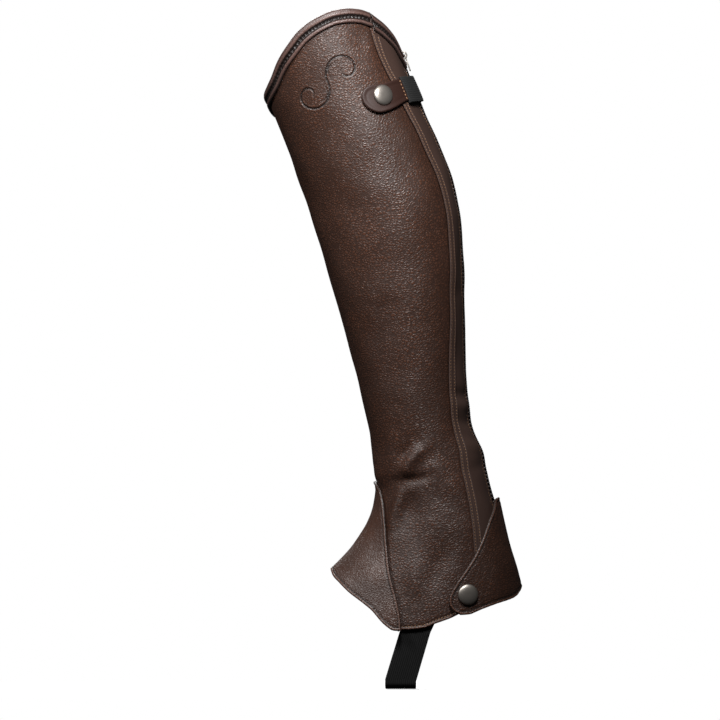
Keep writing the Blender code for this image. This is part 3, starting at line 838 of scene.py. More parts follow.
def closed_shell(name, outer, inner, faces, border, looks, edge=None, flat=None, relief=None):
    """A thin closed body from two faces with the same layout, joined round their border.
    The first look is for the outer face and the edge, the last for the inner face. relief is how far the
    outer face is raised or pressed in; the materials paint shade in its hollows and lighten its beads, partly as rubbed
    wear and partly as a painted highlight."""
    count = len(outer)
    following = np.roll(border, -1)
    first = np.array([face[:3] for face in faces])
    a, b, c = (outer[first[:, k]] for k in (0, 1, 2))
    outward = outer[first[:, 0]] - inner[first[:, 0]]
    faces = [tuple(int(k) for k in face) for face in faces]
    if dot(np.cross(b - a, c - a), outward).sum() < 0:
        faces = [face[::-1] for face in faces]
    ends = {end for face in faces for end in zip(face, face[1:] + face[:1])}
    rim = [(i, j, j + count, i + count) for i, j in zip(border.tolist(), following.tolist())]
    if rim[0][:2] in ends:
        rim = [face[::-1] for face in rim]
    everything = faces + [tuple(k + count for k in face[::-1]) for face in faces] + rim
    mesh = bpy.data.meshes.new(name)
    mesh.from_pydata(np.concatenate([outer, inner]).tolist(), [], everything)
    slots = np.zeros(len(everything), int)
    slots[len(faces) : 2 * len(faces)] = len(looks) - 1
    mesh.polygons.foreach_set("material_index", slots)
    if edge is not None:
        mark = mesh.attributes.new("edge_distance", "FLOAT", "POINT")
        mark.data.foreach_set("value", np.concatenate([edge, edge]))
    # relief drives the painted shade in hollows and the lighter beads in the materials.
    if relief is not None:
        mark = mesh.attributes.new("relief", "FLOAT", "POINT")
        mark.data.foreach_set("value", np.concatenate([relief, 0 * relief]) * 1000)
    if flat is not None:
        layer = mesh.uv_layers.new(name="flat")
        corners = np.zeros(len(mesh.loops), int)
        mesh.loops.foreach_get("vertex_index", corners)
        layer.data.foreach_set("uv", np.concatenate([flat, flat])[corners].ravel())
    mesh.validate()
    return put(name, mesh, looks)


class Cut:
    """The outline of a leather piece between two edges given by height and two given by turn."""

    def __init__(self, back, front, low, high):
        self.back, self.front = back, front
        self.u = np.linspace(0, 1, 1201)
        self.bottom, self.top = self.corner(low), self.corner(high)

    def corner(self, edge):
        height = edge((self.back(-0.2) + self.front(-0.2)) / 2) * np.ones_like(self.u)
        for _ in range(12):
            height = edge(self.back(height) * (1 - self.u) + self.front(height) * self.u)
        return height

    def place(self, u, v):
        bottom, top = np.interp(u, self.u, self.bottom), np.interp(u, self.u, self.top)
        height = bottom + (top - bottom) * v
        return self.back(height) * (1 - u) + self.front(height) * u, height

    def lengths(self, steps=80):
        """Real lengths: of lines across the piece, by v, and of lines along it, by u."""
        ticks = np.linspace(0, 1, steps)
        points = skin(*self.place(ticks[:, None], ticks[None, :]))
        across = np.linalg.norm(np.diff(points, axis=0), axis=-1).sum(0)
        lengthways = np.linalg.norm(np.diff(points, axis=1), axis=-1).sum(1)
        return ticks, across, lengthways

    def grid(self, spacing, margins):
        """Places on a grid with lines at those margins from every edge, and evenly spaced between."""
        ticks, across, lengthways = self.lengths()
        columns = max(int(across.max() / spacing), 2)
        rows = max(int(lengthways.max() / spacing), 2)
        u = spread(margins, np.interp(spread(margins, lengthways.mean(), rows), ticks, across), columns)
        v = spread(margins, np.interp(spread(margins, across.mean(), columns), ticks, lengthways), rows)
        return self.place(u, v.T)

    def side(self, which, inset=0.0, start=0.0, end=1.0, step=0.0006):
        """Places along one edge, moved in by a distance."""
        t = np.linspace(start, end, 400)
        u, v = {"back": (0 * t, t), "front": (0 * t + 1, t), "low": (t, 0 * t), "high": (t, 0 * t + 1)}[which]
        turn, height = self.place(u, v)
        line = skin(turn, height)
        tangent = unit(np.gradient(line, axis=0))
        further = skin(*(self.place(0.5, v) if which in ("back", "front") else self.place(u, 0.5)))
        inward = np.cross(around(turn, height)[3], tangent)
        inward *= np.sign(dot(inward, further - line).sum())
        turn, height = walked(turn, height, inward * inset)
        count = int(np.linalg.norm(np.diff(line, axis=0), axis=-1).sum() / step) + 2
        return evenly(np.stack([turn, height], -1), count).T


def spread(margins, length, count):
    """Places from 0 to 1 along a length: at the margins from both ends, and evenly spaced between."""
    near = np.multiply.outer(np.array(margins), 1 / np.asarray(length, float))
    near = np.minimum(near, 0.35 * (np.arange(len(margins)) / len(margins)).reshape(-1, *[1] * (near.ndim - 1)))
    share = (np.arange(1, count) / count).reshape(-1, *[1] * (near.ndim - 1))
    inner = near[-1] + (1 - 2 * near[-1]) * share
    return np.concatenate([near, inner, 1 - near[::-1]])


def edge_distances(points, border, reach):
    """Each point's distance from the piece's edge, up to reach."""
    line = points[np.append(border, border[0])]
    steps = np.linalg.norm(np.diff(line, axis=0), axis=-1)
    dense = evenly(line, int(steps.sum() / 0.0005))
    away = np.full(len(points), reach)
    for part in np.array_split(np.arange(len(points)), max(len(points) // 1500, 1)):
        box = np.all((dense > points[part].min(0) - reach) & (dense < points[part].max(0) + reach), axis=-1)
        if box.any():
            gaps = points[part][:, None] - dense[box][None]
            away[part] = np.minimum(np.sqrt((gaps**2).sum(-1).min(1)), reach)
    return away


def leather_piece(name, cut, spacing, layer, wall, looks, edge=STITCHED_EDGE, extra=None, refine=None):
    """A leather piece over its cut: its layer off the skin is a number or a function of turn and height.
    extra raises the outer face, and refine is a line near which the grid is four times finer."""
    turn, height = cut.grid(spacing, [place for place, _ in edge])
    shape = turn.shape
    faces, border = grid_faces(*shape), grid_border(*shape)
    if refine is not None:
        turn, height, faces = refined(turn, height, faces, refine)
    turn, height = turn.ravel(), height.ravel()
    lie = layer(turn, height) if callable(layer) else layer
    points, normal = form(turn, height, lie)
    distance = edge_distances(points, border, edge[-1][0])
    rise = smooth(edge, distance)
    if extra is not None:
        rise = rise + extra(turn, height, points)
    outer = points + normal * rise[:, None]
    inner = points + normal * (smooth(INNER_EDGE, distance) - wall)[:, None]
    return closed_shell(name, outer, inner, faces, border, looks, distance, flat_places(turn, height), rise)


def flat_places(turn, height):
    """The flat layout in metres: how far round and how far up."""
    _, along_turn, along_height, _ = around(120.0, -0.2)
    return np.stack([turn * np.linalg.norm(along_turn), height * np.linalg.norm(along_height)], -1)


def refined(turn, height, faces, line):
    """The same grid with the faces near a line cut into sixteen. The added places follow the old ones."""
    scale = np.array([0.001, 1.0])
    places = np.stack([turn.ravel(), height.ravel()], -1) * scale
    work = bmesh.new()
    corners = [work.verts.new((x, y, 0)) for x, y in places]
    made = [work.faces.new([corners[k] for k in face]) for face in faces]
    centres = skin(*(places[np.asarray(faces)].mean(1) / scale).T)
    away, _ = nearest(centres, line)
    chosen = {edge for face, distance in zip(made, away) if distance < REFINE_WITHIN for edge in face.edges}
    bmesh.ops.subdivide_edges(work, edges=list(chosen), cuts=3, use_grid_fill=True)
    bmesh.ops.triangulate(work, faces=[face for face in work.faces if len(face.verts) > 4])
    work.verts.index_update()
    new = np.array([vert.co[:2] for vert in work.verts]) / scale
    loops = [[vert.index for vert in face.verts] for face in work.faces]
    work.free()
    return new[:, 0], new[:, 1], loops


# The pressed scroll: its groove, the ridge crowded up beside it, and its shallower leaves.
GROOVE_DEPTH, GROOVE_HALF_WIDTH = 0.00065, 0.00075
RIDGE_HEIGHT, RIDGE_AWAY, RIDGE_HALF_WIDTH = 0.00016, 0.0015, 0.0006
LEAF_DEPTH, LEAF_HALF_WIDTH = 0.00055, 0.00070
REFINE_WITHIN = 0.0034  # faces nearer than this to the scroll are cut finer


def scroll_line():
    """A plain double scroll pressed into the calf: two curls joined by an S, with a leaf on each side."""
    middle = np.array([-0.0110, 0.0100])
    curl = np.array([-0.0245, 0.0005])
    reach = middle - curl
    turns, small = 1.15, 0.0026
    t = np.linspace(0, 1, 90)
    angle = np.arctan2(reach[1], reach[0]) - (1 - t) * turns * 2 * np.pi
    radius = small + (np.linalg.norm(reach) - small) * t**1.5
    half = curl + np.stack([np.cos(angle), np.sin(angle)], -1) * radius[:, None]
    return np.concatenate([half, 2 * middle - half[::-1]]), middle


def leaf_lines():
    """Two short curved strokes, one on each side of the scroll's middle."""
    _, middle = scroll_line()
    t = np.linspace(0, 1, 24)[:, None]
    start, bend, tip = np.array([0.0020, 0.0035]), np.array([-0.0030, 0.0110]), np.array([0.0050, 0.0150])
    stroke = start * (1 - t) ** 2 + bend * 2 * t * (1 - t) + tip * t**2
    return [middle + stroke, middle - stroke]


def on_side(places):
    """Side-view (x, height) places as points on the outer side's skin."""
    return skin(turn_of_x(places[:, 0], places[:, 1]), places[:, 1])


def pressed_scroll(turn, height, points):
    """The scroll's sunk line, with the leather crowded up a little on both sides of it."""
    main, _ = scroll_line()
    away, share = nearest(points, on_side(main))
    depth = GROOVE_DEPTH * np.clip(np.sin(np.pi * share) * 2.2, 0.35, 1)
    rise = -depth * np.exp(-((away / GROOVE_HALF_WIDTH) ** 2))
    rise = rise + RIDGE_HEIGHT * np.exp(-(((away - RIDGE_AWAY) / RIDGE_HALF_WIDTH) ** 2))
    for leaf in leaf_lines():
        away, share = nearest(points, on_side(leaf))
        rise -= LEAF_DEPTH * np.sin(np.pi * np.clip(share, 0.1, 0.9)) * np.exp(-((away / LEAF_HALF_WIDTH) ** 2))
    return np.where(np.isfinite(rise), rise, 0)


def declare(made, cut):
    """Works out the lengths and points that the cut unrolls to, and keeps none of them: the piece is returned as it is.
    """
    _, across, lengthways = cut.lengths()
    ticks = np.linspace(0, 1, 81)
    points = skin(*cut.place(ticks[:, None], ticks[None, :]))
    return made


# The pieces' cuts.


def low_all_round():
    low = HEM[:-1] + UNDER_INSTEP
    return low + mirrored(low)[::-1][1:]


def outer_panel_cut():
    return Cut(
        lambda height: apart(seam_turn(height), height, SEAM_GAP / 2),
        lambda height: apart(FRONT_SEAM_TURN, height, -SEAM_GAP / 2),
        along(low_all_round()),
        along(TOP_EDGE),
    )


def inner_panel_cut():
    return Cut(
        lambda height: apart(FRONT_SEAM_TURN, height, SEAM_GAP / 2),
        lambda height: apart(seam_turn(height, -1), height, -SEAM_GAP / 2),
        along(low_all_round()),
        along(TOP_EDGE),
    )


def outer_strip_cut():
    return Cut(
        lambda height: turn_at(ZIP_GAP / 2, height),
        lambda height: apart(seam_turn(height), height, -SEAM_GAP / 2),
        along(HEM),
        along(STRIP_TOP_EDGE),
    )


def inner_strip_cut():
    return Cut(
        lambda height: apart(seam_turn(height, -1), height, SEAM_GAP / 2),
        lambda height: 360 - turn_at(ZIP_GAP / 2, height),
        along(mirrored(HEM)),
        along(mirrored(INNER_STRIP_TOP_EDGE)),
    )


def under_edge(edges, distance):
    """The edge that runs a distance below the lowest of some edges, measured square to them."""

    def height(turn):
        lowest = []
        for edge in edges:
            near = np.clip(turn, edge[0][0] + 1, edge[-1][0] - 1)
            rise = smooth(edge, near + 1) - smooth(edge, near - 1)
            run = np.linalg.norm(skin(near + 1, 0) - skin(near - 1, 0), axis=-1)
            lowest.append(smooth(edge, near) - distance * np.sqrt(1 + (rise / run) ** 2))
        return np.minimum(*lowest)

    return height


def seam_tape_cut(side):
    strip_edge = STRIP_TOP_EDGE if side > 0 else mirrored(INNER_STRIP_TOP_EDGE)[::-1]
    return Cut(
        lambda height: apart(seam_turn(height, side), height, -SEAM_TAPE_WIDTH / 2),
        lambda height: apart(seam_turn(height, side), height, SEAM_TAPE_WIDTH / 2),
        lambda turn: SEAM_TAPE_END + 0 * turn,
        under_edge((TOP_EDGE, strip_edge), BINDING_DEPTH + 0.002),
    )


def instep_cut():
    return Cut(
        along(INSTEP_SEAM),
        lambda height: 360 - smooth(INSTEP_SEAM, height),
        along(INSTEP_HEM + mirrored(INSTEP_HEM)[::-1][1:]),
        along(INSTEP_TOP + mirrored(INSTEP_TOP)[::-1][1:]),
    )


def instep_layer(turn, height):
    down = (INSTEP_TOP[-1][1] - height) / (INSTEP_TOP[-1][1] - INSTEP_HEM[0][1])
    gap = INSTEP_GAP * np.clip(down / 0.2, 0.3, 1)
    return gap + LEATHER + INSTEP_FLARE * np.maximum(down, 0) ** 2


def flap_layer(turn, height):
    """The flap lies over the seam tapes and the zip, and stands away at the back towards its tip and hem."""
    base = LAYER_GAP + SEAM_TAPE + LAYER_GAP + LEATHER + 0.0002
    down = np.clip((FLAP_TOP[0][1] - height) / (FLAP_TOP[0][1] - FLAP_HEM[0][1]), 0, 1)
    away = FLAP_FLARE * down**2 + FLAP_TIP_AWAY * (1 - down) ** 2
    return base + away * np.maximum(np.cos(np.radians(turn)), 0) ** 4


def flap_cut():
    def both(knots):
        return tuple((-turn, height) for turn, height in knots[:0:-1]) + knots

    return Cut(
        lambda height: -smooth(FLAP_EDGE, height),
        along(FLAP_EDGE),
        along(both(FLAP_HEM)),
        along(both(FLAP_TOP)),
    )


def zip_tape_cut():
    return Cut(
        lambda height: -turn_at(ZIP_TAPE_WIDTH / 2, height),
        lambda height: turn_at(ZIP_TAPE_WIDTH / 2, height),
        lambda turn: ZIP_END + 0 * turn,
        lambda turn: STRIP_TOP_EDGE[0][1] - BINDING_DEPTH - 0.001 + 0 * turn,
    )


# The operators, one for each piece or group of like pieces.


class CHAP_OT_panels(bpy.types.Operator):
    """The pebbled outer panel with its pressed scroll, and the smooth inner panel"""

    bl_idname = "chap.panels"
    bl_label = "Panels"

    def execute(self, context):
        main, _ = scroll_line()
        line = np.concatenate([main, *leaf_lines()])
        cut = outer_panel_cut()
        outer = leather_piece(
            "outer_panel_leather",
            cut,
            0.0021,
            0.0,
            LEATHER,
            [pebbled_leather(), flesh_side()],
            extra=pressed_scroll,
            refine=on_side(line),
        )
        stand_for(outer, "grain_leather", "outer_panel")
        declare(outer, cut)
        cut = inner_panel_cut()
        inner = leather_piece(
            "inner_panel_leather", cut, 0.0024, 0.0, LEATHER, [smooth_leather(), flesh_side()]
        )
        stand_for(inner, "smooth_leather", "inner_panel")
        declare(inner, cut)
        return {"FINISHED"}


class CHAP_OT_back(bpy.types.Operator):
    """The two smooth strips beside the zip and the stitched tapes over the back seams"""

    bl_idname = "chap.back"
    bl_label = "Back Strips and Seams"

    def execute(self, context):
        looks = [smooth_leather(), flesh_side()]
        for name, cut in (("back_strip_outer", outer_strip_cut()), ("back_strip_inner", inner_strip_cut())):
            made = leather_piece(name + "_leather", cut, 0.0021, 0.0, STRIP_LEATHER, looks)
            stand_for(made, "smooth_leather", name)
            declare(made, cut)
        for name, side in (("back_seam_outer", 1), ("back_seam_inner", -1)):
            cut = seam_tape_cut(side)
            made = self.tape(name, cut)
            stand_for(made, "smooth_leather", name)
            declare(made, cut)
        return {"FINISHED"}

    def tape(self, name, cut):
        """A tape with a groove under each row of stitches and a rounded ridge between them."""
        profile = (
            (0, -0.00055),
            (0.0002, 0.0),
            (0.0006, 0.00028),
            (0.0010, 0.00005),
            (0.0014, -0.00038),
            (0.0018, -0.0001),
            (0.0023, 0.00004),
            (0.0030, -0.00004),
            (0.0035, -0.00014),
        )
        looks = [smooth_leather(), flesh_side()]
        return leather_piece(name + "_tape", cut, 0.0018, LAYER_GAP + SEAM_TAPE, SEAM_TAPE, looks, profile)


class CHAP_OT_bindings(bpy.types.Operator):
    """The binding folded over the shaped top edge, with a rolled bead, a stitched trough and a flat ridge"""

    bl_idname = "chap.bindings"
    bl_label = "Bindings"

    FACE = (
        (0.0, 0.00215),
        (0.0010, 0.00262),
        (0.0019, 0.00262),
        (0.0029, 0.00180),
        (0.0038, 0.00098),
        (0.0052, 0.00098),
        (0.0060, 0.00180),
        (0.0069, 0.00250),
        (0.0080, 0.00250),
        (0.0088, 0.00205),
        (0.0092, 0.00150),
    )
    TROUGH, PUCKER = 0.0045, 0.00060

    def execute(self, context):
        gap = 0.7
        start, end = TOP_EDGE[0][0] + gap, TOP_EDGE[-1][0] - gap
        self.bind("top_binding", start, end, TOP_EDGE, LEATHER)
        first, last = STRIP_TOP_EDGE[0][0], STRIP_TOP_EDGE[-1][0] - gap
        self.bind("strip_binding_outer", first, last, STRIP_TOP_EDGE, STRIP_LEATHER)
        self.bind("strip_binding_inner", 360 - last, 360 - first, mirrored(INNER_STRIP_TOP_EDGE), STRIP_LEATHER)
        return {"FINISHED"}

    def section(self, wall):
        """The fold's outer and inner lines, as (layer, up), from inside the chap over the edge to outside it."""
        lift = BINDING_GAP + BINDING
        inside = -(wall + lift)
        middle, half = (lift + inside) / 2, (lift - inside) / 2
        outer, inner = [], []
        for up in np.linspace(-BINDING_DEPTH, 0, 5):
            outer.append((inside, up))
            inner.append((inside + BINDING, up))
        for angle in np.linspace(0, np.pi, 11)[1:-1]:
            outer.append((middle - half * np.cos(angle), lift * np.sin(angle)))
            inner.append((middle - (half - BINDING) * np.cos(angle), BINDING_GAP * np.sin(angle)))
        for down in np.linspace(0, BINDING_DEPTH, 24):
            face = smooth(self.FACE, down)
            outer.append((face, -down))
            inner.append((max(face - BINDING, 0.00025), -down))
        return np.array(outer), np.array(inner)

    def bind(self, name, start, end, edge, wall):
        step = 0.5
        turns = np.linspace(start, end, 400)
        line = skin(turns, smooth(edge, turns))
        length = np.linalg.norm(np.diff(line, axis=0), axis=-1).sum()
        turns = evenly(np.concatenate([line, turns[:, None]], -1), int(length / 0.00055))[:, 3]
        height = smooth(edge, turns)
        ahead = skin(turns + step, smooth(edge, turns + step)) - skin(turns - step, smooth(edge, turns - step))
        _, _, along_height, normal = around(turns, height)
        square = unit(np.cross(normal, ahead))
        square *= np.sign(dot(square, along_height))[:, None]
        upright = np.clip(1 - np.minimum(turns - start, end - turns) / MITRE, 0, 1)[:, None]
        across = square * (1 - upright) + unit(along_height) * upright
        across /= dot(across, square)[:, None]
        walk = np.linspace(0, length, len(turns))
        puckers = 0.5 + 0.5 * np.cos(2 * np.pi * walk / sizes().rim_pitch)
        faces, reliefs = [], []
        for contour, sunk in zip(self.section(wall), (1, 0)):
            layer, up = contour.T
            direction = across[:, None] * up[None, :, None]
            turn, high = walked(turns[:, None] + 0 * up, height[:, None] + 0 * up, direction)
            near = np.exp(-(((up + self.TROUGH) / 0.0017) ** 2)) * (layer > 0) * sunk
            layer = layer - self.PUCKER * puckers[:, None] * near
            # The binding face's relief: the material paints shade in the stitched trough and lightens the beads, partly
            # as a painted highlight.
            reliefs.append(np.where((layer > 0) & (up < -0.0008), layer - self.FACE[0][1], 0))
            faces.append(form(turn, high, layer)[0])
        shape = faces[0].shape[:2]
        outer, inner = (face.reshape(-1, 3) for face in faces)
        border = grid_border(*shape)
        looks = [binding_leather_painted_light(), flesh_side()]
        distance = edge_distances(outer, border, 0.004)
        relief = reliefs[0].ravel()
        made = closed_shell(name + "_fold", outer, inner, grid_faces(*shape), border, looks, distance, relief=relief)
        stand_for(made, "smooth_leather", name)
        width = float(np.linalg.norm(np.diff(self.section(wall)[0], axis=0), axis=-1).sum())


class CHAP_OT_instep(bpy.types.Operator):
    """The tongue-shaped piece over the instep"""

    bl_idname = "chap.instep"
    bl_label = "Instep Piece"

    def execute(self, context):
        cut = instep_cut()
        looks = [instep_leather(), flesh_side()]
        made = leather_piece("instep_piece_leather", cut, 0.0019, instep_layer, LEATHER, looks)
        stand_for(made, "grain_leather", "instep_piece")
        declare(made, cut)
        return {"FINISHED"}


class CHAP_OT_flap(bpy.types.Operator):
    """The flap round the heel"""

    bl_idname = "chap.flap"
    bl_label = "Heel Flap"

    def execute(self, context):
        cut = flap_cut()
        made = leather_piece(
            "heel_flap_leather", cut, 0.0019, flap_layer, LEATHER, [pebbled_leather(), flesh_side()], extra=self.dimple
        )
        stand_for(made, "grain_leather", "heel_flap")
        declare(made, cut)
        return {"FINISHED"}

    def dimple(self, turn, height, points):
        """The leather is drawn in under the snap."""
        depth, reach = 0.0003, 0.010
        middle = skin(HEEL_SNAP_TURN, HEEL_SNAP_HEIGHT)
        away = np.linalg.norm(points - middle, axis=-1)
        return -depth * np.exp(-((away / reach) ** 4)) * (turn > 0)


class CHAP_OT_closing_tab(bpy.types.Operator):
    """The polished closing tab and the elastic that pulls it"""

    bl_idname = "chap.closing_tab"
    bl_label = "Closing Tab"

    def execute(self, context):
        self.leather()
        self.elastic()
        return {"FINISHED"}

    def leather(self):
        length = TAB_END - TAB_ROOT
        straight, curved = 34, 30
        turns = np.concatenate(
            [
                TAB_ROOT + (length - TAB_ROUND) * np.linspace(0, 1, straight, endpoint=False),
                TAB_END - TAB_ROUND * (1 - np.sin(np.pi / 2 * np.linspace(0, 1, curved))),
            ]
        )
        widened = np.minimum((turns - TAB_ROOT) / (length - TAB_ROUND), 1)
        into = np.maximum(turns - (TAB_END - TAB_ROUND), 0) / TAB_ROUND
        half = (TAB_ROOT_WIDTH + (TAB_END_WIDTH - TAB_ROOT_WIDTH) * widened) / 2
        half = half * np.sqrt(np.maximum(1 - into**2, 0.03))
        side = np.sin(np.pi / 2 * np.linspace(-1, 1, 33))
        turn = turns[:, None] + 0 * side
        height = smooth(TAB_COURSE, turns)[:, None] + half[:, None] * side
        points, normal = form(turn.ravel(), height.ravel(), TAB_LAYER)
        shape = turn.shape
        border = grid_border(*shape)
        distance = edge_distances(points, border, 0.005)
        rise = smooth(PADDED_EDGE, distance)
        line = skin(TAB_ROOT, 0)
        from_root = np.linalg.norm(points - line, axis=-1)
        rise -= 0.00025 * np.exp(-(((turn.ravel() - TAB_ROOT - 2.2) / 0.8) ** 2)) * (from_root < 0.02)
        outer = points + normal * rise[:, None]
        inner = points + normal * (smooth(INNER_EDGE, distance) - LEATHER)[:, None]
        looks = [oxblood_leather(), flesh_side()]
        made = closed_shell("closing_tab_leather", outer, inner, grid_faces(*shape), border, looks, distance)
        stand_for(made, "oxblood_leather", "closing_tab")
        long = np.linalg.norm(np.diff(skin(turns, smooth(TAB_COURSE, turns)), axis=0), axis=-1).sum()
        area = float((half * 2 * np.gradient(turns)).sum() / length * long)

    def elastic(self):
        start = float(apart(TAB_ROOT, 0, -SEAM_GAP))
        turns = np.linspace(start, ELASTIC_END, 90)
        side = np.linspace(-0.5, 0.5, 81)
        turn = turns[:, None] + 0 * side
        height = smooth(TAB_COURSE, turns)[:, None] + ELASTIC_WIDTH * side
        ribs = 0.00010 * np.cos(2 * np.pi * side * ELASTIC_WIDTH / sizes().rib_spacing)
        tucked = -0.0005 * np.exp(-(((np.abs(side) - 0.5) / 0.02) ** 2))
        sag = 0.0005 * np.sin(np.pi * np.clip((start - turns) / 12, 0, 1))[:, None]
        outer, normal = form(turn, height, TAB_LAYER + ribs + tucked + sag)
        inner = outer - normal * WEBBING
        walk = np.concatenate([[0], np.cumsum(np.linalg.norm(np.diff(outer[:, 40], axis=0), axis=-1))])
        flat = np.stack([0 * walk[:, None] + side * ELASTIC_WIDTH, walk[:, None] + 0 * side], -1).reshape(-1, 2)
        shape = turn.shape
        made = closed_shell(
            "tab_elastic_webbing",
            outer.reshape(-1, 3),
            inner.reshape(-1, 3),
            grid_faces(*shape),
            grid_border(*shape),
            [black_elastic()],
            flat=flat,
        )
        stand_for(made, "black_elastic", "tab_elastic")


class CHAP_OT_foot_strap(bpy.types.Operator):
    """The wide elastic under the arch"""

    bl_idname = "chap.foot_strap"
    bl_label = "Foot Strap"

    def execute(self, context):
        lines = [self.route(STRAP_WIDTH * share) for share in np.linspace(-0.5, 0.5, 97)]
        outer = np.stack(lines, 1)
        ahead, aside = np.gradient(outer, axis=0), np.gradient(outer, axis=1)
        normal = unit(np.cross(ahead, aside))
        middle = np.array([STRAP_CORNER[0], 0, (STRAP_TOP + STRAP_UNDER) / 2])
        normal *= np.sign(dot(normal, outer - middle).sum())
        side = np.linspace(-0.5, 0.5, 97)
        ribs = 0.00010 * np.cos(2 * np.pi * side * STRAP_WIDTH / sizes().rib_spacing)
        tucked = -0.0004 * np.exp(-(((np.abs(side) - 0.5) / 0.02) ** 2))
        outer = outer + normal * (ribs + tucked)[None, :, None]
        inner = outer - normal * WEBBING
        walk = np.concatenate([[0], np.cumsum(np.linalg.norm(np.diff(outer[:, 48], axis=0), axis=-1))])
        flat = np.stack([0 * walk[:, None] + side * STRAP_WIDTH, walk[:, None] + 0 * side], -1).reshape(-1, 2)
        shape = outer.shape[:2]
        made = closed_shell(
            "foot_strap_webbing",
            outer.reshape(-1, 3),
            inner.reshape(-1, 3),
            grid_faces(*shape),
            grid_border(*shape),
            [black_elastic()],
            flat=flat,
        )
        stand_for(made, "black_elastic", "foot_strap")
        return {"FINISHED"}

    def route(self, aside):
        """One line of the strap, a distance towards the heel from its middle line."""
        corner_x, corner_y = STRAP_CORNER
        radius = STRAP_CORNER_RADIUS
        heights = np.linspace(STRAP_TOP, STRAP_LEAVES, 8)
        turns = turn_of_x(skin(STRAP_TURN, heights)[:, 0] + aside, heights)
        point, _, _, normal = around(turns, heights)
        upper = point - normal * (LEATHER + LAYER_GAP)
        angle = np.linspace(0, np.pi / 2, 9)
        bend = np.stack(
            [
                corner_x + aside + 0 * angle,
                corner_y + radius * (1 - np.cos(angle)),
                STRAP_UNDER + radius * (1 - np.sin(angle)),
            ],
            -1,
        )
        share = np.linspace(0, 1, 16)[1:-1, None]
        free = upper[-1] * (1 - share) + bend[0] * share
        under = np.linspace(bend[-1, 1], 0, 12)[1:]
        flat = np.stack([corner_x + aside + 0 * under, under, STRAP_UNDER + 0 * under], -1)
        half = np.concatenate([upper, free, bend, flat])
        other = half[-2::-1] * np.array([1, -1, 1])
        return evenly(np.concatenate([half, other]), 130)


def lathe(name, profile, steps, turn, height, layer, look):
    """A turned cap, set square on the leather."""
    radius, up = np.array(profile).T
    angle = np.linspace(0, 2 * np.pi, steps, endpoint=False)
    ring = np.stack([np.cos(angle), np.sin(angle)], -1)
    verts = [(0, 0, up[0])]
    for r, z in zip(radius[1:-1], up[1:-1]):
        verts += [(x * r, y * r, z) for x, y in ring]
    verts.append((0, 0, up[-1]))
    rings = len(radius) - 2
    faces = []
    for k in range(steps):
        after = (k + 1) % steps
        faces.append((0, 1 + k, 1 + after))
        for j in range(rings - 1):
            low, high = 1 + (j + 1) * steps, 1 + j * steps
            faces.append((high + k, low + k, low + after, high + after))
        last = 1 + (rings - 1) * steps
        faces.append((last + k, len(verts) - 1, last + after))
    point, normal = form(np.float64(turn), np.float64(height), layer)
    axes = Vector(normal).to_track_quat("Z", "Y").to_matrix().to_4x4()
    mesh = bpy.data.meshes.new(name)
    mesh.from_pydata(verts, [], faces)
    mesh.transform(Matrix.Translation(point) @ axes)
    return put(name, mesh, [look])


class CHAP_OT_snaps(bpy.types.Operator):
    """The two domed snap caps"""

    bl_idname = "chap.snaps"
    bl_label = "Snap Caps"

    def execute(self, context):
        tab_height = float(smooth(TAB_COURSE, TAB_SNAP)) + TAB_SNAP_ABOVE
        self.cap("tab_snap", TAB_SNAP, tab_height, TAB_LAYER)
        self.cap("heel_snap", HEEL_SNAP_TURN, HEEL_SNAP_HEIGHT, flap_layer(HEEL_SNAP_TURN, HEEL_SNAP_HEIGHT))
        return {"FINISHED"}

    def cap(self, name, turn, height, layer):
        """A low dome that rolls over at its rim and tucks under onto the leather."""
        radius, rim = SNAP_RADIUS, 0.0007
        profile = [(0, SNAP_HEIGHT)]
        for angle in np.linspace(0, np.pi / 2, 15)[1:]:
            swell = 1 + 0.05 * np.sin(2 * angle)
            profile.append((radius * np.sin(angle), rim + (SNAP_HEIGHT - rim) * np.cos(angle) ** 0.9 * swell))
        profile += [(radius + 0.0001, rim * 0.7), (radius, 0.0003), (radius - 0.0004, 0.0), (radius - 0.0012, -0.0002)]
        profile += [(0, -0.0002)]
        made = lathe(name + "_cap", profile, 64, turn, height, layer + LAYER_GAP * 0.6, old_nickel())
        stand_for(made, "old_nickel", name)


# The zip.


def zip_line(low, high, layer, step=0.002):
    heights = np.linspace(low, high, int((high - low) / step) + 2)
    return form(0 * heights, heights, layer)


def slider_frame():
    """The slider's own axes, as a matrix: X out from the skin, Y across, Z up along the zip."""
    point, _, along_height, normal = (Vector(v) for v in around(np.float64(0), np.float64(SLIDER_HEIGHT)))
    up = along_height.normalized()
    axes = Matrix((normal, up.cross(normal), up)).transposed().to_4x4()
    return Matrix.Translation(point) @ axes


def rounded_outline(half_low, half_high, low, high, radius, steps=5):
    """A four-sided (across, up) outline with rounded corners, narrower at one end if its halves differ."""
    corners = [(half_low, low, -90), (half_high, high, 0), (-half_high, high, 90), (-half_low, low, 180)]
    outline = []
    for across, up, start in corners:
        x, z = across - np.sign(across) * radius, up - (radius if up == high else -radius)
        for angle in np.radians(np.linspace(start, start + 90, steps)):
            outline.append((x + radius * np.cos(angle), z + radius * np.sin(angle)))
    return outline


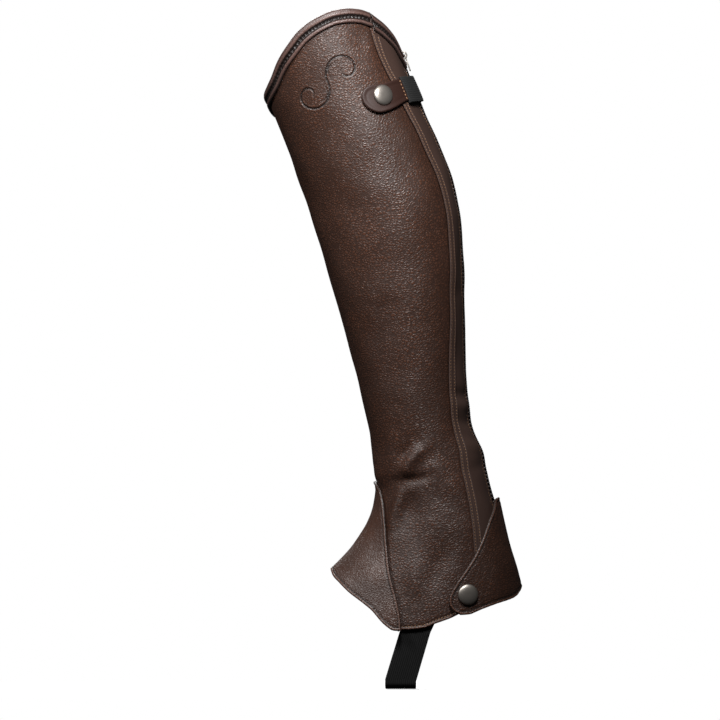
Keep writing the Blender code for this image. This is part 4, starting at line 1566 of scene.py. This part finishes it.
def prism(work, outline, low, high, bevel, hole=None):
    """A plate between two layers, with softened edges and maybe a hole with as many corners as its outline."""
    loops = []
    levels = ((low, bevel), (low + bevel, 0), (high - bevel, 0), (high, bevel))
    for inset_sign, line in ((-1, outline), (1, hole)):
        if line is None:
            continue
        points = np.array(line)
        ahead = np.roll(points, -1, 0) - np.roll(points, 1, 0)
        outward = unit(np.stack([ahead[:, 1], -ahead[:, 0]], -1))
        rings = []
        for layer, inset in levels:
            moved = points + outward * inset * inset_sign
            rings.append([work.verts.new((layer, y, z)) for y, z in moved])
        loops.append(rings)
    made = []

    def join(a, b):
        for i in range(len(a)):
            j = (i + 1) % len(a)
            made.append(work.faces.new((a[i], a[j], b[j], b[i])))

    for rings in loops:
        for lower, upper in zip(rings, rings[1:]):
            join(lower, upper)
    for level in (0, -1):
        if hole is None:
            made.append(work.faces.new(loops[0][level]))
        else:
            join(loops[0][level], loops[1][level])
    bmesh.ops.recalc_face_normals(work, faces=made)


def bar(work, points, radius, sides=12):
    """A round bar with closed ends along a path."""
    points = np.array(points, float)
    ahead = unit(np.gradient(points, axis=0))
    side = np.cross(ahead, [0.13, 0.21, 0.97]) if abs(ahead[0, 0]) > 0.5 else np.cross(ahead, [0.97, 0.13, 0.21])
    side = unit(side)
    up = np.cross(ahead, side)
    rings = []
    for point, a, b in zip(points, side, up):
        angles = np.linspace(0, 2 * np.pi, sides, endpoint=False)
        rings.append([work.verts.new(point + radius * (a * np.cos(t) + b * np.sin(t))) for t in angles])
    made = []
    for lower, upper in zip(rings, rings[1:]):
        for i in range(sides):
            j = (i + 1) % sides
            made.append(work.faces.new((lower[i], lower[j], upper[j], upper[i])))
    made += [work.faces.new(rings[0]), work.faces.new(rings[-1])]
    bmesh.ops.recalc_face_normals(work, faces=made)


def finished(work, name, matrix, looks, body):
    mesh = bpy.data.meshes.new(name)
    work.to_mesh(mesh)
    work.free()
    mesh.transform(matrix)
    made = put(name, mesh, looks, body)
    mesh.set_sharp_from_angle(angle=np.radians(40))
    return made


class CHAP_OT_zip(bpy.types.Operator):
    """The zip's tape, teeth, slider and pull"""

    bl_idname = "chap.zip"
    bl_label = "Zip"

    def execute(self, context):
        cut = zip_tape_cut()
        looks = [zip_cloth()]
        under = -(STRIP_LEATHER + TAPE_GAP)
        tape = leather_piece("zip_tape_cloth", cut, 0.0024, under, ZIP_TAPE, looks, CUT_EDGE)
        stand_for(tape, "zip_tape", "zip_tape")
        declare(tape, cut)
        self.teeth()
        self.slider()
        self.pull()
        return {"FINISHED"}

    def teeth(self):
        top = SLIDER_HEIGHT - SLIDER_SIZE[1] / 2 - SEAM_GAP
        rows = [zip_line(ZIP_END, top - 0.0006, CHAIN_PROUD - CHAIN / 2)]
        facts = {
            "Pitch": sizes().tooth_pitch / 2,
            "Tooth Width": CHAIN_WIDTH * 0.80,
            "Tooth Height": sizes().tooth_pitch * 0.62,
            "Tooth Depth": CHAIN * 1.12,
            "Spread": CHAIN_WIDTH * 0.14,
            "Look": moulded_teeth(),
        }
        made = grown("zip_chain_teeth", rows, tooth_rows(), facts)
        stand_for(made, "zip_teeth", "zip_chain")

    def slider(self):
        width, length, depth = SLIDER_SIZE
        top = SLIDER_PROUD
        half, tall = width / 2, length / 2
        work = bmesh.new()
        face = rounded_outline(half * 0.72, half, -tall, tall, 0.0017)
        prism(work, face, top - 0.0011, top, 0.00028)
        prism(work, face, top - depth, top - depth + 0.0010, 0.00028)
        prism(work, rounded_outline(0.0006, 0.0018, 0.0005, tall - 0.0005, 0.0005), top - 0.0025, top - 0.0009, 0.0001)
        for side in (1, -1):
            rail = rounded_outline(0.00045, 0.00045, -tall + 0.0012, -0.0006, 0.0004)
            moved = [(y + side * (half * 0.72 - 0.0002), z) for y, z in rail]
            prism(work, moved, top - depth + 0.0006, top - 0.0006, 0.0002)
        arch = [(top - BRIDGE_RADIUS, 0, PIVOT_ABOVE - BRIDGE_REACH)]
        for angle in np.linspace(0, np.pi, 17)[1:-1]:
            arch.append((top + BRIDGE_RISE * np.sin(angle), 0, PIVOT_ABOVE - BRIDGE_REACH * np.cos(angle)))
        arch.append((top - BRIDGE_RADIUS, 0, PIVOT_ABOVE + BRIDGE_REACH))
        bar(work, arch, BRIDGE_RADIUS)
        made = finished(work, "zip_slider_body", slider_frame(), [old_nickel()], "chap")
        stand_for(made, "old_nickel", "zip_slider")

    def pull(self):
        work = bmesh.new()
        side = PULL_WIDTH / 2 - EYE_RADIUS
        bend = 0.0009
        loop = [(0, side, -EYE_LENGTH), (0, side, -bend)]
        quarter = np.linspace(0, np.pi / 2, 6)[1:]
        loop += [(0, side - bend + bend * np.cos(a), -bend + bend * np.sin(a)) for a in quarter]
        loop = evenly(loop, 14).tolist()
        other = [(x, -y, z) for x, y, z in reversed(loop)]
        bar(work, loop + other[1:] if loop[-1][1] == 0 else loop + other, EYE_RADIUS)
        plate_top = EYE_RADIUS - EYE_LENGTH
        half = PULL_WIDTH / 2
        face = rounded_outline(half * 0.96, half, -PULL_LENGTH, plate_top, 0.0012, 7)
        hole = rounded_outline(0.0013, 0.0013, -PULL_LENGTH + 0.0016, plate_top - 0.0013, 0.0011, 7)
        prism(work, face, -PULL_THICKNESS / 2, PULL_THICKNESS / 2, 0.00028, hole)
        matrix = slider_frame() @ Matrix.Translation((PIVOT_LAYER, 0, PIVOT_ABOVE))
        made = finished(work, "zip_pull_plate", matrix, [old_nickel()], "pull")
        stand_for(made, "old_nickel", "zip_pull")


# Rows of stitches and teeth.


def group_tree(name, numbers):
    """A new geometry node group with a geometry, those numbers and a look going in, and a geometry coming out."""
    group = bpy.data.node_groups.new(name, "GeometryNodeTree")
    group.interface.new_socket("Geometry", in_out="INPUT", socket_type="NodeSocketGeometry")
    for label in numbers:
        group.interface.new_socket(label, in_out="INPUT", socket_type="NodeSocketFloat")
    group.interface.new_socket("Look", in_out="INPUT", socket_type="NodeSocketMaterial")
    group.interface.new_socket("Geometry", in_out="OUTPUT", socket_type="NodeSocketGeometry")
    return group


class Rows(Tree):
    """A geometry node group that sets copies of one thing along lines, each square to the line's facing."""

    def given(self, name):
        return self.node("NodeGroupInput", output=name)

    def joined(self, x, y, z):
        return self.node("ShaderNodeCombineXYZ", {}, {0: x, 1: y, 2: z})

    def start(self):
        """The evenly spaced points, and the turn of each copy: X along the line, Z along its facing."""
        line = self.node("GeometryNodeMeshToCurve", {}, {0: self.given("Geometry")})
        spacing = {"Curve": line, "Length": self.given("Pitch")}
        points = self.node("GeometryNodeResampleCurve", {"mode": "LENGTH"}, spacing)
        tangent = self.node("GeometryNodeInputTangent")
        facing = self.node("GeometryNodeInputNamedAttribute", {"data_type": "FLOAT_VECTOR"}, {"Name": "facing"})
        ahead = self.node("FunctionNodeAlignRotationToVector", {"axis": "X"}, {"Vector": tangent})
        turned = self.node(
            "FunctionNodeAlignRotationToVector", {"axis": "Z", "pivot_axis": "X"}, {"Rotation": ahead, "Vector": facing}
        )
        return points, turned, tangent, facing

    def finish(self, points, thing, turned):
        copies = self.node(
            "GeometryNodeInstanceOnPoints", {}, {"Points": points, "Instance": thing, "Rotation": turned}
        )
        real = self.node("GeometryNodeRealizeInstances", {}, {0: copies})
        dressed = self.node("GeometryNodeSetMaterial", {}, {"Geometry": real, "Material": self.given("Look")})
        self.node("NodeGroupOutput", {}, {0: dressed})


def stitch_rows():
    """Each stitch is a bar of thread that rises from the leather, leans a little and goes back in."""
    found = bpy.data.node_groups.get("Stitch Rows")
    if found:
        return found
    group = group_tree("Stitch Rows", ("Pitch", "Stitch Length", "Thread Radius", "Rise", "Slant"))
    tree = Rows(group)
    points, turned, _, _ = tree.start()
    half, radius = tree.given("Stitch Length") * 0.5, tree.given("Thread Radius")
    slant, rise = tree.given("Slant"), tree.given("Rise")
    ends = {
        "Resolution": 5,
        "Start": tree.joined(half * -1, slant * -1, radius * -1.6),
        "Middle": tree.joined(0.0, 0.0, rise * 2 + radius),
        "End": tree.joined(half, slant, radius * -1.6),
    }
    path = tree.node("GeometryNodeCurveQuadraticBezier", {}, ends)
    round_thread = tree.node("GeometryNodeCurvePrimitiveCircle", {}, {"Resolution": 6, "Radius": radius})
    facts = {"Curve": path, "Profile Curve": round_thread, "Fill Caps": True}
    thing = tree.node("GeometryNodeCurveToMesh", {}, facts)
    tree.finish(points, thing, turned)
    return group


def tooth_rows():
    """Rounded teeth that reach in from the left and the right in turn."""
    group = group_tree("Tooth Rows", ("Pitch", "Tooth Width", "Tooth Height", "Tooth Depth", "Spread"))
    tree = Rows(group)
    points, turned, tangent, facing = tree.start()
    index = tree.node("GeometryNodeInputIndex")
    side = index.math("MODULO", index, 2.0) * 2 - 1
    across = tree.node("ShaderNodeVectorMath", {"operation": "CROSS_PRODUCT"}, {0: facing, 1: tangent})
    shift = tree.node(
        "ShaderNodeVectorMath", {"operation": "SCALE"}, {0: across, "Scale": side * tree.given("Spread")}
    )
    points = tree.node("GeometryNodeSetPosition", {}, {"Geometry": points, "Offset": shift})
    size = tree.joined(tree.given("Tooth Height"), tree.given("Tooth Width"), tree.given("Tooth Depth"))
    cube = tree.node("GeometryNodeMeshCube", {}, {"Size": size})
    thing = tree.node("GeometryNodeSubdivisionSurface", {}, {"Mesh": cube, "Level": 1, "Edge Crease": 0.55})
    tree.finish(points, thing, turned)
    return group


def grown(name, rows, group, facts):
    """The plain mesh that a node group grows along lines of (points, normals)."""
    verts, edges, facing = [], [], []
    for points, normals in rows:
        edges += [(len(verts) + k, len(verts) + k + 1) for k in range(len(points) - 1)]
        verts += points.tolist()
        facing += normals.ravel().tolist()
    mesh = bpy.data.meshes.new(name)
    mesh.from_pydata(verts, edges, [])
    mesh.attributes.new("facing", "FLOAT_VECTOR", "POINT").data.foreach_set("vector", facing)
    lines = bpy.data.objects.new(name + "_lines", mesh)
    bpy.context.scene.collection.objects.link(lines)
    modifier = lines.modifiers.new("Rows", "NODES")
    modifier.node_group = group
    for item in group.interface.items_tree:
        if item.in_out == "INPUT" and item.name in facts:
            modifier[item.identifier] = facts[item.name]
    bpy.context.view_layer.update()
    graph = bpy.context.evaluated_depsgraph_get()
    plain = bpy.data.meshes.new_from_object(lines.evaluated_get(graph))
    lines.modifiers.remove(modifier)
    bpy.data.objects.remove(lines)
    if not plain.polygons:
        raise RuntimeError(f"{name}: the node group {group.name} made no faces")
    plain.name = name
    return put(name, plain, [])


def surface_of(names):
    """What rays meet: the shown faces of those pieces."""
    verts, faces = [], []
    for name in names:
        mesh = bpy.data.objects[name].data
        start = len(verts)
        verts += [vert.co.copy() for vert in mesh.vertices]
        faces += [[start + k for k in face.vertices] for face in mesh.polygons]
    return BVHTree.FromPolygons(verts, faces)


def laid_on(tree, turn, height, sunk):
    """A row's points on the surface under it, sunk a little, with the normals there."""
    high, normal = form(turn, height, 0.012)
    points, normals = [], []
    for start, out in zip(high, normal):
        hit = tree.ray_cast(Vector(start), -Vector(out), 0.02)[0]
        if hit is not None:
            points.append(np.array(hit) - out * sunk)
            normals.append(out)
    return np.array(points), np.array(normals)


class CHAP_OT_stitching(bpy.types.Operator):
    """The rows of stitches on every seam, hem, binding and flap"""

    bl_idname = "chap.stitching"
    bl_label = "Stitching"

    INSET = 0.0024

    def execute(self, context):
        inset = self.INSET
        outer, inner, instep, flap = outer_panel_cut(), inner_panel_cut(), instep_cut(), flap_cut()
        strips = (outer_strip_cut(), inner_strip_cut())
        rim = CHAP_OT_bindings.TROUGH
        rim_rows = [outer.side("high", rim, 0.01, 0.995), inner.side("high", rim, 0.005, 0.99)]
        rim_rows += [cut.side("high", rim, 0.08, 0.92) for cut in strips]
        bindings = ["top_binding_fold", "strip_binding_outer_fold", "strip_binding_inner_fold"]
        self.sew("rim_stitches", bindings, rim_rows, dark_thread(), sizes().rim_pitch, 0.5, 0.00025)

        tape_cuts = map(seam_tape_cut, (1, -1))
        tapes = [cut.side(side, 0.0014, 0.004, 0.996) for cut in tape_cuts for side in ("back", "front")]
        self.sew("seam_stitches", ["back_seam_outer_tape", "back_seam_inner_tape"], tapes, tan_thread())

        hems = [outer.side("low", inset, 0.02, 0.33), inner.side("low", inset, 0.55, 0.98)]
        hems += [outer.side("front", inset, 0.01, 0.965), inner.side("back", inset, 0.01, 0.965)]
        panels = ["outer_panel_leather", "inner_panel_leather"]
        self.sew("panel_stitches", panels, hems, tan_thread())

        zip_sides = [strips[0].side("back", inset, 0.01, 0.965), strips[1].side("front", inset, 0.01, 0.965)]
        names = ["back_strip_outer_leather", "back_strip_inner_leather"]
        self.sew("strip_stitches", names, zip_sides, tan_thread())

        sides = [instep.side(side, inset, 0.008, 0.99) for side in ("back", "front")]
        sides += [instep.side("low", inset, 0.012, 0.988), instep.side("high", inset, 0.03, 0.97)]
        self.sew("instep_stitches", ["instep_piece_leather"], sides, dark_thread())

        sides = [flap.side(side, inset, 0.012, 0.985) for side in ("back", "front")]
        sides += [flap.side("low", inset, 0.02, 0.98), flap.side("high", inset, 0.06, 0.94)]
        self.sew("flap_stitches", ["heel_flap_leather"], sides, dark_thread())

        turns = np.full(24, TAB_ROOT + 2.2)
        middle = float(smooth(TAB_COURSE, TAB_ROOT + 2.2))
        joint = (turns, middle + np.linspace(-0.40, 0.40, 24) * TAB_ROOT_WIDTH)
        self.sew("tab_stitches", ["closing_tab_leather"], [joint], tan_thread())
        return {"FINISHED"}

    def sew(self, name, pieces, rows, look, pitch=None, share=0.70, slant=0.00012):
        tree = surface_of(pieces)
        pitch = pitch or sizes().stitch_pitch
        radius = sizes().thread_radius
        laid = [laid_on(tree, *row, radius * 0.2) for row in rows]
        facts = {
            "Pitch": pitch,
            "Stitch Length": pitch * share,
            "Thread Radius": radius,
            "Rise": radius * 0.5,
            "Slant": slant,
            "Look": look,
        }
        grown(name, [row for row in laid if len(row[0]) > 3], stitch_rows(), facts)


class CHAP_OT_stage(bpy.types.Operator):
    """The pale floor, soft studio light and the camera"""

    bl_idname = "chap.stage"
    bl_label = "Stage"

    LENS, SENSOR, VIEW_WIDTH = 1000, 36, 0.5592
    VIEW_X, VIEW_HEIGHT = 0.01398, -0.2050

    def execute(self, context):
        self.floor()
        self.world()
        self.light("key_light", (0.05, -0.50, 0.30), (0.02, -0.03, -0.04), (0.17, 0.17), 5.6)
        self.light("side_light", (-0.86, -0.70, 0.66), (0.0, -0.03, -0.38), (0.25, 0.25), 9.0)
        self.light("back_light", (-0.20, 1.00, 0.55), (0.04, 0.0, -0.14), (0.5, 0.5), 8)
        self.camera()
        return {"FINISHED"}

    def floor(self):
        low, _ = CAD_BOX
        mesh = bpy.data.meshes.new("studio_floor")
        angles = np.linspace(0, 2 * np.pi, 96, endpoint=False)
        ring = [(0.45 * np.cos(a) + 0.04, 0.45 * np.sin(a), low.z - 0.0008) for a in angles]
        mesh.from_pydata(ring, [], [list(range(96))])
        look = Look("studio_floor")
        clouds = look.noise(0.5, 2.0)
        tone = look.mix(clouds, (0.86, 0.86, 0.86), (0.90, 0.90, 0.90))
        glow = {"Emission_Color": (1, 1, 1), "Emission_Strength": 0.75}
        mesh.materials.append(look.finish(Base_Color=tone, Roughness=0.75, Specular_IOR_Level=0.1, **glow))
        floor = bpy.data.objects.new("studio_floor", mesh)
        bpy.context.scene.collection.objects.link(floor)
        floor.visible_diffuse = floor.visible_glossy = False

    def world(self):
        world = bpy.data.worlds.new("studio_air")
        world.use_nodes = True
        bpy.context.scene.world = world
        world.node_tree.nodes.clear()
        tree = Tree(world.node_tree)
        seen = tree.node("ShaderNodeBackground", {}, {"Color": (1, 1, 1), "Strength": 1.0})
        around_it = tree.node("ShaderNodeBackground", {}, {"Color": (1, 1, 1), "Strength": 0.02})
        camera_ray = tree.node("ShaderNodeLightPath")
        mixed = tree.node("ShaderNodeMixShader", {}, {0: camera_ray, 1: around_it, 2: seen})
        tree.node("ShaderNodeOutputWorld", {}, {"Surface": mixed})

    def light(self, name, place, target, size, power):
        data = bpy.data.lights.new(name, "AREA")
        data.shape = "RECTANGLE"
        data.size, data.size_y = size
        data.energy = power
        made = bpy.data.objects.new(name, data)
        made.location = place
        made.rotation_mode = "QUATERNION"
        made.rotation_quaternion = (Vector(target) - Vector(place)).to_track_quat("-Z", "Y")
        made.visible_camera = False
        bpy.context.scene.collection.objects.link(made)

    def camera(self):
        data = bpy.data.cameras.new("camera")
        data.lens, data.sensor_width = self.LENS, self.SENSOR
        distance = self.LENS / self.SENSOR * self.VIEW_WIDTH
        data.clip_start, data.clip_end = 0.1, 60
        made = bpy.data.objects.new("camera", data)
        made.location = (self.VIEW_X, -distance, self.VIEW_HEIGHT)
        made.rotation_euler = (np.pi / 2, 0, 0)
        bpy.context.scene.collection.objects.link(made)
        scene = bpy.context.scene
        scene.camera = made
        scene.view_settings.view_transform = "Standard"


def length(name, description, default, precision=4):
    return bpy.props.FloatProperty(
        name=name, description=description, default=default, unit="LENGTH", precision=precision
    )


class ChapSizes(bpy.types.PropertyGroup):
    grain_size: length("Grain Size", "Width of one pebble of the leather's grain", 0.0024)
    crease_depth: bpy.props.FloatProperty(
        name="Crease Depth", description="How deep the worn creases are, as a factor", default=1.0, min=0, max=1.5
    )
    stitch_pitch: length("Stitch Pitch", "Distance from one stitch to the next", 0.0024)
    rim_pitch: length(
        "Rim Stitch Pitch", "The same along the binding, where each stitch puckers the leather", 0.0033
    )
    thread_radius: length("Thread Radius", "Radius of the sewing thread", 0.00044, 5)
    tooth_pitch: length("Tooth Pitch", "Distance between teeth on one side of the zip", 0.0030)
    rib_spacing: length("Rib Spacing", "Distance between the ribs of the elastic", 0.0016)


def colour(name, description, default):
    return bpy.props.FloatVectorProperty(
        name=name, description=description, default=default, subtype="COLOR", min=0, max=1
    )


class ChapColours(bpy.types.PropertyGroup):
    grain_brown: colour("Pebbled Leather", "The outer panel and heel flap", (0.076, 0.031, 0.018))
    # The bindings' brown: the smooth leather's brown painted lighter, a painted highlight.
    binding_brown_painted_light: colour("Bound Leather", "The bindings round the top edge", (0.074, 0.041, 0.034))
    smooth_brown: colour("Smooth Leather", "The inner panel, back strips and seam tapes", (0.026, 0.011, 0.007))
    flesh_brown: colour("Flesh Side", "The napped back of the leather", (0.160, 0.100, 0.065))
    oxblood: colour("Tab Leather", "The closing tab", (0.021, 0.0042, 0.0048))
    elastic_black: colour("Elastic", "The tab's elastic and the foot strap", (0.006, 0.006, 0.0063))
    tape_brown: colour("Zip", "The zip's tape and teeth", (0.022, 0.014, 0.011))
    nickel: colour("Nickel", "The snaps, slider and pull", (0.108, 0.098, 0.085))
    thread_tan: colour("Seam Thread", "The stitches on seams and hems", (0.300, 0.160, 0.080))
    thread_dark: colour("Dark Thread", "The stitches on the bindings, instep and flap", (0.012, 0.007, 0.005))


STEPS = (
    "panels",
    "back",
    "bindings",
    "instep",
    "flap",
    "closing_tab",
    "foot_strap",
    "zip",
    "snaps",
    "stitching",
    "stage",
)


class CHAP_PT_panel(bpy.types.Panel):
    """The half chap's pieces, sizes and colours"""

    bl_idname = "CHAP_PT_panel"
    bl_label = "Half Chap"
    bl_space_type = "VIEW_3D"
    bl_region_type = "UI"
    bl_category = "Half Chap"

    def draw(self, context):
        for group in (context.scene.chap_sizes, context.scene.chap_colours):
            box = self.layout.box()
            for name in group.bl_rna.properties.keys():
                if name not in ("rna_type", "name"):
                    box.prop(group, name)
        for step in STEPS:
            self.layout.operator("chap." + step)


CLASSES = (
    ChapSizes,
    ChapColours,
    CHAP_OT_panels,
    CHAP_OT_back,
    CHAP_OT_bindings,
    CHAP_OT_instep,
    CHAP_OT_flap,
    CHAP_OT_closing_tab,
    CHAP_OT_foot_strap,
    CHAP_OT_zip,
    CHAP_OT_snaps,
    CHAP_OT_stitching,
    CHAP_OT_stage,
    CHAP_PT_panel,
)


def register():
    for made in CLASSES:
        bpy.utils.register_class(made)
    bpy.types.Scene.chap_sizes = bpy.props.PointerProperty(type=ChapSizes)
    bpy.types.Scene.chap_colours = bpy.props.PointerProperty(type=ChapColours)


def unregister():
    del bpy.types.Scene.chap_colours
    del bpy.types.Scene.chap_sizes
    for made in reversed(CLASSES):
        bpy.utils.unregister_class(made)


def main():
    register()
    for step in STEPS:
        getattr(bpy.ops.chap, step)()
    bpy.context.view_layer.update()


if __name__ == "__main__":
    main()
